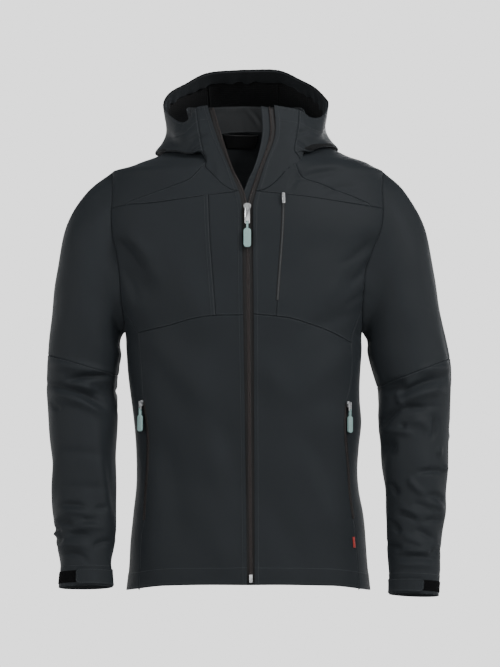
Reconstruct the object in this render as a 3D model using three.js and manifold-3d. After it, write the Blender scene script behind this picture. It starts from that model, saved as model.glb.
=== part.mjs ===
// A hooded softshell jacket, filled out as if worn, with its main zip open at the collar.
// Lengths are in millimetres. +Z is up, the front faces -Y, and the wearer's right arm is at -X.
// The origin lies between the shoulders, at the height of the base of the neck.

import * as THREE from "three";
import Module from "manifold-3d";

const wasm = await Module();
wasm.setup();

const RIGHT = -1; // the wearer's right, on the left of a front view
const LEFT = 1;

// Driving sizes
const WALL = 1.6; // shell cloth, two bonded layers
const SEAM_GAP = 0.3; // clear distance between two pieces along a seam
const NECK_LIFT = 1.2; // how far past the neck seam the hood starts
const EDGE_FOOT = -707; // the front edges run from here
const EDGE_TOP = -60; // to here, where the collar starts
const SIDE_TURN = 66; // where the front side seam meets the hem, and its mirror behind
const SHOULDER_TURN = 90.01; // the shoulder line, just behind the widest place
const YOKE_PARTS = 0.93; // share of the way from the armhole to the yoke where its seams part
const UNDER_LIFT = 9; // how far the hood's underside is raised off the shoulder

// Collar: the band inside the hood stands on the neck seam and leans out and to the right.
const COLLAR_TURN = 24; // where the collar's front meets the hood's side
const STAND_HEIGHT = 46;
const STAND_WALL = 1.4;
const STAND_FROM = 44; // turn of its two ends
const STAND_INSET = 4;
const STAND_LEAN = 5;
const STAND_DRIFT = -8; // how far its top edge is pushed to the wearer's right
const STAND_RISE = { ends: 1.2, back: 1, over: 110 }; // share of its height, over this turn
const STAND_CENTRE = -12; // x that the band's ways out spread from

// Main zip
const ZIP_OPEN = -84; // the slider's height, where the two sides part
const ZIP_FOOT = -704;
const TAPE_WALL = 1.2;
const TAPE_DEPTH = 2.2; // the zip tape lies this far under the outer face of the front
const TAPE_UNDERLAP = 8; // the hidden part of the tape, behind the front's edge
const TAPE_REACH = 8.6; // how far an open tape reaches past the front's edge
const TAPE_GAP = 0.25; // half the gap between the two closed tapes
const FLAP_WALL = 1.4;
const FLAP_REACH = 21.5;
const FLAP_UNDERLAP = 12;
const FLAP_DEPTH = 3.75;
const STOP = { half: 2.6, low: -704, middle: -697, high: -691, x: 1.5, wall: 2.6, lift: -1.7 };

// Pieces sewn on
const ON_CLOTH = 0.35; // clear distance under a piece sewn flat on another
const TRIM_WALL = 1.2;
const POCKET_ZIP = { width: 7, [RIGHT]: [-606, -409], [LEFT]: [-604, -411] };
const CHEST_ZIP = { width: 5, from: -240, to: -66.5 };
const TAG = { from: -652, to: -634, width: 5, inset: 3.4 };
const LABEL_WALL = 1;
const LABEL_LIFT = -WALL - 0.5;
const TAB = { top: 13.34, foot: 13.94, from: 204, to: 74, rounding: 0.2, corner: 8 };
const PATCH = { top: 13.42, foot: 13.86, from: 100, to: -28, lift: 0.75, wall: 0.9 };

// Zip hardware
const AXIS_RISE = 2.6; // of the hinge over the slider's body, at scale 1
const RING_WALL = 1.4;
const RING_PLAY = 0.3; // between the ring and the sides of the bridge

const COLOURS = {
  shell: 0x2c3134,
  lining: 0x3a3e40,
  tape: 0x1c1816,
  metal: 0xb9bcbd,
  grip: 0x7c9896,
  patch: 0x121314,
  tag: 0xb5382c,
};

// Tables

// Turns rows of numbers into records with the given column names.
function table(columns, rows) {
  return rows.map((row) => Object.fromEntries(columns.map((name, i) => [name, row[i]])));
}

// A smooth reading of one column of a table against another, held flat past both ends.
function reading(rows, key, name) {
  const xs = rows.map((row) => row[key]);
  const ys = rows.map((row) => row[name]);
  const last = xs.length - 1;
  const slopes = xs.map((_, i) => {
    const a = Math.max(0, i - 1);
    const b = Math.min(last, i + 1);
    return (ys[b] - ys[a]) / (xs[b] - xs[a]);
  });
  return (x) => {
    if (x <= xs[0]) return ys[0];
    if (x >= xs[last]) return ys[last];
    let i = 0;
    while (x > xs[i + 1]) i += 1;
    const span = xs[i + 1] - xs[i];
    const t = (x - xs[i]) / span;
    const t2 = t * t;
    const t3 = t2 * t;
    return (
      ys[i] * (2 * t3 - 3 * t2 + 1) +
      slopes[i] * span * (t3 - 2 * t2 + t) +
      ys[i + 1] * (3 * t2 - 2 * t3) +
      slopes[i + 1] * span * (t3 - t2)
    );
  };
}

// Body sections by height: half width, depth to the front and to the back, sideways shift
// and the power of the rounded outline (2 is an ellipse, more is squarer).
const BODY = table(["z", "half", "front", "back", "shift", "power"], [
  [-745, 208, 123, 126, -2, 2.5],
  [-692, 203, 120, 120, -3, 2.5],
  [-646, 200, 117, 115, -3, 2.5],
  [-600, 195, 114, 110, -3, 2.5],
  [-561, 189, 112, 107, -4, 2.5],
  [-527, 187, 111, 105, -5, 2.5],
  [-488, 189, 111, 105, -4, 2.45],
  [-447, 193, 112, 107, -4, 2.45],
  [-408, 194, 113, 111, -7, 2.4],
  [-362, 197, 116, 116, -10, 2.4],
  [-323, 199.5, 118, 120, -10, 2.4],
  [-292, 201, 120, 123, -11, 2.4],
  [-240, 219, 121, 127, -12, 2.4],
  [-200, 227, 120, 129, -13, 2.4],
  [-165, 237, 119, 129, -11, 2.35],
  [-128, 249, 117, 127, -7, 2.3],
  [-98, 252, 114, 124, -5, 2.2],
  [-71, 248, 110, 120, -4, 2.1],
  [-45, 241, 105, 116, -4, 2],
  [-30, 233, 101, 113, -4, 2],
  [-19, 228, 98, 111, -3, 2],
  [-12, 207, 95, 109, 3, 2],
  [-4, 189, 89, 107, 6, 2],
  [5, 163, 80, 104, 5, 2],
  [17, 140, 66, 100, 4, 2],
  [28, 114, 52, 95, 0, 2],
  [38, 92, 38, 90, -2, 2],
  [50, 68, 22, 82, -3, 2],
  [64, 44, 10, 72, -4, 2],
]);
const BODY_FIT = Object.fromEntries(
  ["half", "front", "back", "shift", "power"].map((name) => [name, reading(BODY, "z", name)]),
);

// Broad folds of the body cloth, as soft ridges (height above 0) and troughs.
const BODY_FOLDS = table(["x", "z", "slant", "length", "width", "height"], [
  [-196, -190, -62, 75, 17, -3.4],
  [-172, -168, -58, 80, 16, 2.6],
  [176, -176, 60, 70, 17, -3.2],
  [158, -196, 52, 80, 16, 2.6],
  [150, -268, 20, 90, 14, -2],
  [-95, -240, -70, 95, 26, 2],
  [92, -170, 40, 85, 24, -1.8],
  [-70, -440, -78, 140, 28, 2.6],
  [-30, -510, -75, 120, 22, -2],
  [62, -420, -64, 120, 24, 2.8],
  [90, -470, -60, 130, 22, -2.6],
  [122, -560, -68, 110, 24, 2.2],
  [-128, -560, -82, 120, 22, -2],
  [-60, -620, -70, 90, 26, 2],
  [60, -630, -62, 90, 24, -1.8],
  [-120, -350, -50, 90, 24, 1.8],
  [118, -366, 44, 90, 24, 1.8],
]);
const BACK_FOLDS = table(["x", "z", "slant", "length", "width", "height"], [
  [-186, -190, 60, 90, 20, -3.4],
  [172, -184, -60, 90, 20, -3.4],
  [-140, -250, 48, 110, 22, 3],
  [132, -262, -46, 110, 22, 3],
  [-60, -470, 8, 150, 18, -2.8],
  [54, -452, -12, 150, 18, 3],
  [-30, -420, 10, 160, 18, 2.8],
  [40, -520, -6, 150, 18, -2.6],
  [0, -600, 80, 120, 30, 2.2],
  [-110, -620, 78, 110, 26, 2],
  [108, -610, -76, 110, 26, 2.2],
]);

// The height that a table of folds adds at a place of the front or the back.
function foldHeight(folds, x, z) {
  let sum = 0;
  for (const fold of folds) {
    const angle = THREE.MathUtils.degToRad(fold.slant);
    const dx = x - fold.x;
    const dz = z - fold.z;
    const along = (dx * Math.cos(angle) + dz * Math.sin(angle)) / fold.length;
    const across = (dz * Math.cos(angle) - dx * Math.sin(angle)) / fold.width;
    sum += fold.height * Math.exp(-across * across - 4 * along ** 4);
  }
  return sum;
}

const rad = THREE.MathUtils.degToRad;
const deg = THREE.MathUtils.radToDeg;

// A place on the body: turn in degrees, 0 at the middle of the front, 90 at the wearer's left
// side, -90 at the right side and 180 at the back. Lift moves it outwards.
function bodyBase(turn, z) {
  const s = Math.sin(rad(turn));
  const c = Math.cos(rad(turn));
  const power = 2 / BODY_FIT.power(z);
  const depth = c > 0 ? BODY_FIT.front(z) : BODY_FIT.back(z);
  return new THREE.Vector3(
    BODY_FIT.shift(z) + BODY_FIT.half(z) * Math.sign(s) * Math.abs(s) ** power,
    -depth * Math.sign(c) * Math.abs(c) ** power,
    z,
  );
}

function bodyNormal(turn, z) {
  const small = 0.5;
  const around = bodyBase(turn + small, z).sub(bodyBase(turn - small, z));
  const up = bodyBase(turn, z + small).sub(bodyBase(turn, z - small));
  return around.cross(up).normalize();
}

function bodyPoint(turn, z, lift = 0) {
  const p = bodyBase(turn, z);
  const folds = Math.abs(turn) < 90 ? BODY_FOLDS : BACK_FOLDS;
  const fade = Math.min(1, Math.abs(Math.abs(turn) - 90) / 25);
  const height = foldHeight(folds, p.x, z) * fade;
  return p.addScaledVector(bodyNormal(turn, z), height + lift);
}

// The turn at which a section reaches a given x, on the front or on the back.
function turnAtX(x, z, onBack = false) {
  const reach = (x - BODY_FIT.shift(z)) / BODY_FIT.half(z);
  const share = Math.min(1, Math.abs(reach)) ** (BODY_FIT.power(z) / 2);
  const turn = deg(Math.asin(share)) * Math.sign(reach);
  return onBack ? Math.sign(turn || 1) * 180 - turn : turn;
}

// Seam lines on the body, read from left to right of the wearer's own side: columns x and z.
const line = (rows) => table(["x", "z"], rows);

const SEAMS = {
  [RIGHT]: {
    yokeLow: line([[-201, -79.5], [-166, -78], [-116, -72], [-70, -65.5], [-18.5, -60]]),
    yokeHigh: line([[-201, -75.5], [-167, -63.5], [-134, -52], [-100, -38.5], [-74, -9]]),
    split: line([[-69, -65.5], [-65.7, -141], [-60.8, -207], [-56, -267.5]]),
    chestLow: line([
      [-186, -293.3], [-164, -288.5], [-131, -281], [-98, -271.5], [-65, -266], [-11.8, -264.6],
    ]),
    side: table(["z", "x"], [
      [-745, -185], [-692, -184], [-632, -181.5], [-608, -177], [-565, -173.8], [-520, -171.3],
      [-473, -170.5], [-440, -173], [-398, -178.5], [-361, -181.3], [-322, -184], [-293.3, -186],
    ]),
    edge: table(["z", "x"], [
      [-745, -4.5], [-706, -4.8], [-535, -7], [-404, -8.8], [-272, -11], [-174, -12.4],
      [-100, -13], [-82, -13.6], [-60, -18.5],
    ]),
  },
  [LEFT]: {
    yokeLow: line([[196, -82.5], [166, -78], [116, -70.5], [55, -63.5], [10.5, -60]]),
    yokeHigh: line([[196, -78], [160, -63.5], [117, -47], [86, -35], [74, -9]]),
    split: line([[55, -63.5], [53.7, -120], [49.3, -185], [43, -264.8]]),
    chestLow: line([
      [169.5, -311], [154, -302.4], [131, -291], [99, -279.4], [65, -269.5], [7.4, -263],
    ]),
    side: table(["z", "x"], [
      [-745, 182], [-692, 180.5], [-653, 177], [-623, 173.8], [-563, 167], [-513, 163.2],
      [-473, 159.6], [-448, 158.7], [-414, 161.2], [-384, 167.9], [-342, 170.4], [-311, 169.5],
    ]),
    edge: table(["z", "x"], [
      [-745, 7.6], [-706, 7.5], [-535, 7], [-404, 6.4], [-272, 6], [-174, 5],
      [-100, 4.3], [-82, 5], [-60, 10.5],
    ]),
  },
};

// Height of the hem, the neck seam and the half depth of the armhole.
const HEM = table(["turn", "z"], [
  [0, -707], [35, -711], [65, -722], [90, -730], [135, -736], [180, -738],
]);
const NECK = table(["turn", "z"], [
  [4, -60], [11, -42], [17, -22], [24, -7], [33, 7], [48, 21], [66, 31], [83, 36.5],
  [97, 39.5], [113, 43], [132, 47.5], [152, 52], [180, 54],
]);
const ARMHOLE = table(["z", "reach"], [
  [-292, 0], [-286, 25], [-272, 43], [-240, 58], [-200, 63], [-165, 62], [-128, 60],
  [-98, 55], [-71, 47], [-45, 34], [-30, 19], [-19, 0],
]);
const hemHeight = reading(HEM, "turn", "z");
const neckHeight = reading(NECK, "turn", "z");
const armholeReach = reading(ARMHOLE, "z", "reach");

// Heights at which the pieces round an armhole share their corners, from the top of the shoulder.
const ARM_TOP = -19;
const ARM_LOW = -254;
const ARM_BOTTOM = -292;
const ARM_SHOULDER = [ARM_TOP, -34, -58, -86];
const ARM_CHEST = [-86, -120, -155, -190, -222, ARM_LOW];
const ARM_UNDER = [ARM_LOW, -280, ARM_BOTTOM];
const ARM_BACK = [ARM_LOW, -215, -175, -135, -95, -58, -34, ARM_TOP];

function armholePlace(side, z, onBack) {
  const depth = onBack ? BODY_FIT.back(z) : BODY_FIT.front(z);
  const share = Math.max(0, armholeReach(z)) / depth;
  const turn = deg(Math.acos(share ** (BODY_FIT.power(z) / 2)));
  return [side * (onBack ? 180 - turn : turn), z];
}

// Lines in the plane of turn and height

const mix = (a, b, t) => a + (b - a) * t;
const steps = (count) => Array.from({ length: count + 1 }, (_, i) => i / count);

// A seam line given by x and z, as places [turn, z], evenly spread between two shares.
function seamPlaces(rows, count, from = 0, to = 1) {
  const alongs = [0];
  for (let i = 1; i < rows.length; i += 1) {
    alongs.push(alongs[i - 1] + Math.hypot(rows[i].x - rows[i - 1].x, rows[i].z - rows[i - 1].z));
  }
  const total = alongs[alongs.length - 1];
  const measured = rows.map((row, i) => ({ x: row.x, z: row.z, along: alongs[i] / total }));
  const fx = reading(measured, "along", "x");
  const fz = reading(measured, "along", "z");
  return steps(count).map((t) => {
    const along = mix(from, to, t);
    return [turnAtX(fx(along), fz(along)), fz(along)];
  });
}

function straight(a, b, count) {
  return steps(count).map((t) => [mix(a[0], b[0], t), mix(a[1], b[1], t)]);
}

const joinLines = (...lines) => lines.flatMap((places, i) => (i ? places.slice(1) : places));
const backwards = (places) => [...places].reverse();

// Fills a four-sided piece between its edges. Bottom and top run the same way, and so do start
// and end, which close the two other sides.
function fill(bottom, top, start, end) {
  const rows = start.length;
  const columns = bottom.length;
  return Array.from({ length: rows }, (_, r) => {
    const v = r / (rows - 1);
    return Array.from({ length: columns }, (_, c) => {
      const u = c / (columns - 1);
      return [0, 1].map((k) => {
        const across = mix(start[r][k], end[r][k], u);
        const along = mix(bottom[c][k], top[c][k], v);
        const corners = mix(
          mix(bottom[0][k], bottom[columns - 1][k], u),
          mix(top[0][k], top[columns - 1][k], u),
          v,
        );
        return across + along - corners;
      });
    });
  });
}

const onBody = (places, lift = 0) =>
  places.map((row) => row.map(([turn, z]) => bodyPoint(turn, z, lift)));
const bodyNormals = (places) => places.map((row) => row.map(([turn, z]) => bodyNormal(turn, z)));

// Solids

function geometryOf(corners, triangles) {
  const geometry = new THREE.BufferGeometry();
  geometry.setAttribute(
    "position",
    new THREE.Float32BufferAttribute(corners.flatMap((p) => [p.x, p.y, p.z]), 3),
  );
  geometry.setIndex(triangles);
  geometry.computeVertexNormals();
  return geometry;
}

function volumeOf(corners, triangles) {
  let volume = 0;
  for (let i = 0; i < triangles.length; i += 3) {
    const [a, b, c] = [0, 1, 2].map((k) => corners[triangles[i + k]]);
    volume += a.dot(new THREE.Vector3().crossVectors(b, c)) / 6;
  }
  return volume;
}

// Draws the free edges of a grid in by half the seam gap.
function drawnIn(grid, gap, wraps) {
  const rows = grid.length;
  const columns = grid[0].length;
  const toward = (p, q) => q.clone().sub(p).setLength(gap / 2);
  return grid.map((row, r) =>
    row.map((p, c) => {
      const moved = p.clone();
      if (r === 0) moved.add(toward(p, grid[1][c]));
      if (r === rows - 1) moved.add(toward(p, grid[rows - 2][c]));
      if (!wraps && c === 0) moved.add(toward(p, row[1]));
      if (!wraps && c === columns - 1) moved.add(toward(p, row[columns - 2]));
      return moved;
    }),
  );
}

function gridNormals(grid, wraps) {
  const rows = grid.length;
  const columns = grid[0].length;
  return grid.map((row, r) =>
    row.map((_, c) => {
      const before = wraps ? (c + columns - 1) % columns : Math.max(0, c - 1);
      const after = wraps ? (c + 1) % columns : Math.min(columns - 1, c + 1);
      const across = row[after].clone().sub(row[before]);
      const along = grid[Math.min(rows - 1, r + 1)][c].clone().sub(grid[Math.max(0, r - 1)][c]);
      return across.cross(along).normalize();
    }),
  );
}

// A closed wall of cloth. The grid is its outer face and the wall grows against the normals, which
// two pieces share along their seam so that their edges stay side by side.
function clothWall(grid, { wall = WALL, gap = SEAM_GAP, wraps = false, normals = null } = {}) {
  const outer = drawnIn(grid, gap, wraps);
  const outward = normals ?? gridNormals(outer, wraps);
  const inner = outer.map((row, r) =>
    row.map((p, c) => p.clone().addScaledVector(outward[r][c], -wall)),
  );
  const rows = grid.length;
  const columns = grid[0].length;
  const corners = [...outer.flat(), ...inner.flat()];
  const at = (layer, r, c) => layer * rows * columns + r * columns + (c % columns);
  const triangles = [];
  const quad = (a, b, c, d) => triangles.push(a, b, c, a, c, d);
  const spans = wraps ? columns : columns - 1;
  for (let r = 0; r < rows - 1; r += 1) {
    for (let c = 0; c < spans; c += 1) {
      quad(at(0, r, c), at(0, r, c + 1), at(0, r + 1, c + 1), at(0, r + 1, c));
      quad(at(1, r, c), at(1, r + 1, c), at(1, r + 1, c + 1), at(1, r, c + 1));
    }
  }
  for (let c = 0; c < spans; c += 1) {
    quad(at(0, 0, c), at(1, 0, c), at(1, 0, c + 1), at(0, 0, c + 1));
    quad(at(0, rows - 1, c + 1), at(1, rows - 1, c + 1), at(1, rows - 1, c), at(0, rows - 1, c));
  }
  if (!wraps) {
    const last = columns - 1;
    for (let r = 0; r < rows - 1; r += 1) {
      quad(at(0, r + 1, 0), at(1, r + 1, 0), at(1, r, 0), at(0, r, 0));
      quad(at(0, r, last), at(1, r, last), at(1, r + 1, last), at(0, r + 1, last));
    }
  }
  if (volumeOf(corners, triangles) < 0) {
    for (let i = 0; i < triangles.length; i += 3) {
      [triangles[i + 1], triangles[i + 2]] = [triangles[i + 2], triangles[i + 1]];
    }
  }
  return geometryOf(corners, triangles);
}

const jacket = new THREE.Group();
jacket.name = "softshell_jacket";

function add(name, geometry, colour, { roughness = 0.85, metalness = 0 } = {}) {
  const material = new THREE.MeshStandardMaterial({ color: colour, roughness, metalness });
  material.name = name;
  const mesh = new THREE.Mesh(geometry, material);
  mesh.name = name;
  jacket.add(mesh);
}

const METAL = { roughness: 0.3, metalness: 1 };
const RUBBER = { roughness: 0.6, metalness: 0 };
const bodyCloth = (places) => clothWall(onBody(places), { normals: bodyNormals(places) });
const tagOf = (side) => (side === RIGHT ? "R" : "L");

// Body pieces

const INNER_COLUMNS = 3;
const OUTER_COLUMNS = 6;
const LOWER_ROWS = 13;
const NECK_ROWS = 3;
const BACK_COLUMNS = 16;

// The share of a seam's length at which it meets the split line.
function splitShare(rows, x) {
  let total = 0;
  let before = 0;
  for (let i = 1; i < rows.length; i += 1) {
    const step = Math.hypot(rows[i].x - rows[i - 1].x, rows[i].z - rows[i - 1].z);
    const [low, high] = [rows[i - 1].x, rows[i].x];
    const passed = (x - low) / (high - low);
    before += step * Math.min(1, Math.max(0, passed));
    total += step;
  }
  return before / total;
}

// The neck seam at the front, from the front edge (share 1) to the start of the hood's side.

function neckFrontPlace(side, share) {
  const edge = SEAMS[side].edge;
  const edgeTurn = Math.abs(turnAtX(edge[edge.length - 1].x, EDGE_TOP));
  const turn = mix(COLLAR_TURN, edgeTurn, share);
  return [side * turn, mix(neckHeight(turn), EDGE_TOP, share ** 4)];
}

// Puts the inner places of a line on the hem and leaves its two ends where they are.
function alongHem(places) {
  const last = places.length - 1;
  return places.map(([turn, z], i) =>
    i === 0 || i === last ? [turn, z] : [turn, hemHeight(180 - Math.abs(180 - Math.abs(turn)))],
  );
}

const backSeam = {};
for (const side of [RIGHT, LEFT]) {
  const seams = SEAMS[side];
  const edgeX = reading(seams.edge, "z", "x");
  const sideX = reading(seams.side, "z", "x");
  const chestCorner = seams.chestLow[0];
  const sideTop = [turnAtX(chestCorner.x, chestCorner.z), chestCorner.z];
  const armFront = (z) => armholePlace(side, z, false);
  const armBack = (z) => armholePlace(side, z, true);

  // Seams shared by two pieces
  const chestShare = splitShare(seams.chestLow, seams.split[seams.split.length - 1].x);
  const yokeShare = splitShare(seams.yokeLow, seams.split[0].x);
  const chestLow = joinLines(
    seamPlaces(seams.chestLow, OUTER_COLUMNS, 0, chestShare),
    seamPlaces(seams.chestLow, INNER_COLUMNS, chestShare, 1),
  );
  const yokeOuter = seamPlaces(seams.yokeLow, OUTER_COLUMNS - 2, 0, yokeShare);
  const yokeInner = seamPlaces(seams.yokeLow, INNER_COLUMNS, yokeShare, 1);
  const split = straight(yokeInner[0], chestLow[OUTER_COLUMNS], 6).map((place, i, all) => {
    const z = place[1];
    const x = reading([...seams.split].reverse(), "z", "x")(z);
    return i === 0 || i === all.length - 1 ? place : [turnAtX(x, z), z];
  });

  // Front below the chest seam
  const chestInnerEnd = chestLow[chestLow.length - 1];
  const edgeLow = steps(LOWER_ROWS).map((t) => {
    const z = mix(EDGE_FOOT, chestInnerEnd[1], t);
    return [turnAtX(edgeX(z), z), z];
  });
  const sideLow = steps(LOWER_ROWS).map((t) => {
    const z = mix(hemHeight(SIDE_TURN), chestCorner.z, t);
    return [turnAtX(sideX(z), z), z];
  });
  const hemLow = alongHem(straight(sideLow[0], edgeLow[0], OUTER_COLUMNS + INNER_COLUMNS));
  const lower = fill(hemLow, chestLow, sideLow, edgeLow);
  add("front_lower_" + tagOf(side), bodyCloth(lower), COLOURS.shell);

  // Chest pieces between the chest seam and the yoke
  const edgeChest = steps(6).map((t) => {
    const z = mix(chestInnerEnd[1], EDGE_TOP, t);
    return [turnAtX(edgeX(z), z), z];
  });
  const inner = fill(chestLow.slice(OUTER_COLUMNS), yokeInner, backwards(split), edgeChest);
  add("chest_inner_" + tagOf(side), bodyCloth(inner), COLOURS.shell);

  const armSide = joinLines([sideTop, armFront(ARM_LOW)], ARM_CHEST.map(armFront).reverse());
  // One seam runs from the armhole nearly to the yoke's tip, where it parts in two
  const toYoke = straight(armFront(ARM_CHEST[0]), yokeOuter[0], 1);
  toYoke[1] = [0, 1].map((k) => mix(toYoke[0][k], toYoke[1][k], YOKE_PARTS));
  const yokeTop = [...toYoke, ...yokeOuter];
  const outer = fill(chestLow.slice(0, OUTER_COLUMNS + 1), yokeTop, armSide, backwards(split));
  add("chest_outer_" + tagOf(side), bodyCloth(outer), COLOURS.shell);

  // Yoke wedge between its two seams
  const neckFront = steps(NECK_ROWS).map((t) => neckFrontPlace(side, 1 - t));
  const yokeLow = joinLines(yokeOuter, yokeInner);
  const yokeHigh = seamPlaces(seams.yokeHigh, yokeLow.length - 1);
  yokeHigh[yokeHigh.length - 1] = neckFront[NECK_ROWS];
  const tip = straight(yokeLow[0], yokeHigh[0], NECK_ROWS);
  const wedge = fill(yokeLow, yokeHigh, tip, neckFront);
  add("yoke_" + tagOf(side), bodyCloth(wedge), COLOURS.shell);

  // Shoulder piece, from the upper yoke seam to the line of the shoulder
  const shoulderFront = [...toYoke, ...yokeHigh];
  const shoulderBack = steps(shoulderFront.length - 1).map((t) => {
    const z = mix(ARM_TOP, neckHeight(92), t ** 0.9);
    return [side * SHOULDER_TURN, z];
  });
  const neckSide = steps(3).map((t) => {
    const turn = mix(COLLAR_TURN, SHOULDER_TURN, t);
    return [side * turn, neckHeight(turn)];
  });
  shoulderBack[shoulderBack.length - 1] = neckSide[3];
  const armShoulder = ARM_SHOULDER.map(armFront).reverse();
  armShoulder[3] = shoulderBack[0];
  const shoulder = fill(shoulderFront, shoulderBack, armShoulder, neckSide);
  add("shoulder_" + tagOf(side), bodyCloth(shoulder), COLOURS.shell);

  // Side piece under the arm
  const under = joinLines(ARM_UNDER.map(armFront), [...ARM_UNDER].reverse().map(armBack));
  const backLow = steps(LOWER_ROWS).map((t) => {
    const z = mix(hemHeight(180 - SIDE_TURN), chestCorner.z, t);
    return [turnAtX(sideX(z), z, true), z];
  });
  const sideFront = joinLines(sideLow, [sideTop, armFront(ARM_LOW)]);
  const sideBack = joinLines(backLow, [backLow[LOWER_ROWS], armBack(ARM_LOW)]);
  const hemSide = alongHem(straight(sideLow[0], backLow[0], under.length - 1));
  const sidePiece = fill(hemSide, under, sideFront, sideBack);
  add("side_panel_" + tagOf(side), bodyCloth(sidePiece), COLOURS.shell);

  // The edge of the back from hem to neck, kept for the back piece
  const armRise = ARM_BACK.map(armBack);
  armRise[armRise.length - 1] = shoulderBack[0];
  backSeam[side] = joinLines(sideBack, armRise, shoulderBack);
}

// Back, in one piece from hem to neck
const wrap = ([turn, z]) => [turn < 0 ? turn + 360 : turn, z];
const backStart = backSeam[LEFT].map(wrap);
const backEnd = backSeam[RIGHT].map(wrap);
const hemBack = alongHem(straight(backStart[0], backEnd[0], BACK_COLUMNS));
const lastRow = backStart.length - 1;
const neckBack = straight(backStart[lastRow], backEnd[lastRow], BACK_COLUMNS).map(([turn]) => [
  turn,
  neckHeight(180 - Math.abs(180 - turn)),
]);
const backPlaces = fill(hemBack, neckBack, backStart, backEnd).map((row) =>
  row.map(([turn, z]) => [turn > 180 ? turn - 360 : turn, z]),
);
add("back_panel", bodyCloth(backPlaces), COLOURS.shell);

// Hood and collar

// Stations from the middle of the back (0) to the front edge (10), one table a side: the turn of
// the neck seam, then the rim, the widest part and the lower roll that rests on the shoulder.
const HOOD_COLUMNS = [
  "at", "turn", "rimX", "rimY", "rimZ", "bellyX", "bellyY", "bellyZ", "rollX", "rollY", "rollZ",
];
const HOOD = {
  [RIGHT]: table(HOOD_COLUMNS, [
    [0, 180, -12, 112, 168, -10, 186, 106, -6, 160, 10],
    [1, 152, -74, 104, 161, -72, 176, 102, -66, 152, 8],
    [2, 132, -113, 84, 140, -116, 148, 92, -108, 130, 8],
    [3, 113, -138, 58, 122, -143, 106, 76, -142, 92, 9],
    [4, 97, -148, 30, 101, -146, 58, 56, -158, 48, 10],
    [5, 83, -143, 6, 84, -143, 16, 44, -161, 10, 11],
    [6, 66, -127, -22, 67, -134, -18, 38, -149, -25, 12],
    [7, 48, -114, -38, 60, -125, -44, 34, -128, -53, 9],
    [8, 33, -104, -50, 63, -109, -66, 32, -104, -74, 3],
    [9, 24, -90, -61, 82, -84, -80, 34, -78, -87, 8],
    [10, 4, -71, -70, 85, -55, -87, 32, -34, -100, -22],
  ]),
  [LEFT]: table(HOOD_COLUMNS, [
    [0, 180, -12, 112, 168, -10, 186, 106, -6, 160, 10],
    [1, 152, 48, 104, 166, 52, 176, 102, 54, 152, 10],
    [2, 132, 88, 86, 147, 98, 148, 92, 98, 130, 10],
    [3, 113, 113, 66, 131, 122, 108, 78, 130, 94, 13],
    [4, 97, 130, 38, 110, 131, 62, 60, 147, 50, 16],
    [5, 83, 134, 12, 97, 131, 20, 52, 150, 12, 18],
    [6, 66, 127, -14, 78, 127, -14, 44, 139, -22, 20],
    [7, 48, 116, -31, 69, 121, -40, 38, 122, -51, 16],
    [8, 33, 100, -46, 68, 106, -64, 34, 101, -73, 9],
    [9, 24, 82, -62, 78, 79, -81, 36, 74, -87, 9],
    [10, 4, 40, -74, 85, 42, -86, 36, 25, -100, -14],
  ]),
};
const hoodFit = {};
for (const side of [RIGHT, LEFT]) {
  hoodFit[side] = Object.fromEntries(
    HOOD_COLUMNS.slice(1).map((name) => [name, reading(HOOD[side], "at", name)]),
  );
}

// The line of one hood section from its rim to the neck seam. Station runs from -10 at the
// right front edge through 0 at the back to 10 at the left front edge.
function hoodSection(station) {
  const side = station < 0 ? RIGHT : LEFT;
  const at = Math.abs(station);
  const fit = hoodFit[side];
  const rim = new THREE.Vector3(fit.rimX(at), fit.rimY(at), fit.rimZ(at));
  const belly = new THREE.Vector3(fit.bellyX(at), fit.bellyY(at), fit.bellyZ(at));
  const roll = new THREE.Vector3(fit.rollX(at), fit.rollY(at), fit.rollZ(at));
  const turn = fit.turn(at);
  const [neckTurn, neckZ] =
    at > 9 ? neckFrontPlace(side, at - 9) : [side * turn, neckHeight(turn)];
  const neck = bodyPoint(neckTurn, neckZ + NECK_LIFT);
  const under = neck.clone().add(roll).multiplyScalar(0.5);
  under.z += UNDER_LIFT * THREE.MathUtils.clamp(9 - at, 0, 1);
  return new THREE.CatmullRomCurve3([rim, belly, roll, under, neck], false, "centripetal");
}

// Wrinkles of the hood: station, share of the way from rim to neck, and size of each.
const HOOD_FOLDS = table(["station", "share", "slant", "length", "width", "height"], [
  [-6.6, 0.3, -0.05, 1.6, 0.07, -3.2],
  [-5.2, 0.42, 0.04, 1.5, 0.06, 2.4],
  [-8.2, 0.36, 0.08, 0.8, 0.08, -2.6],
  [6.4, 0.3, 0.05, 1.6, 0.07, -3.2],
  [5.4, 0.44, -0.04, 1.5, 0.06, 2.6],
  [8.1, 0.34, -0.06, 0.8, 0.08, -2.6],
  [-2.6, 0.36, 0.06, 1.4, 0.08, -3.6],
  [2.8, 0.38, -0.06, 1.4, 0.08, -3.6],
  [0.2, 0.22, 0.02, 1.3, 0.07, -3],
  [0, 0.5, 0, 1.6, 0.07, -3.4],
  [-1.2, 0.62, 0.04, 1.4, 0.06, 2.6],
  [1.6, 0.6, -0.04, 1.4, 0.06, 2.6],
]);

function hoodFold(station, share) {
  let sum = 0;
  for (const fold of HOOD_FOLDS) {
    const along = (station - fold.station) / fold.length;
    const across = (share - fold.share - fold.slant * along) / fold.width;
    sum += fold.height * Math.exp(-across * across - along * along);
  }
  return sum;
}

const hoodLines = new Map();
function hoodBase(station, share) {
  const key = station.toFixed(4);
  if (!hoodLines.has(key)) hoodLines.set(key, hoodSection(station));
  return hoodLines.get(key).getPoint(share);
}

function hoodNormal(station, share) {
  const small = 0.04;
  const across = hoodBase(Math.min(10, station + small), share).sub(
    hoodBase(Math.max(-10, station - small), share),
  );
  const along = hoodBase(station, Math.min(1, share + 0.01)).sub(
    hoodBase(station, Math.max(0, share - 0.01)),
  );
  return across.cross(along).normalize();
}

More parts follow.
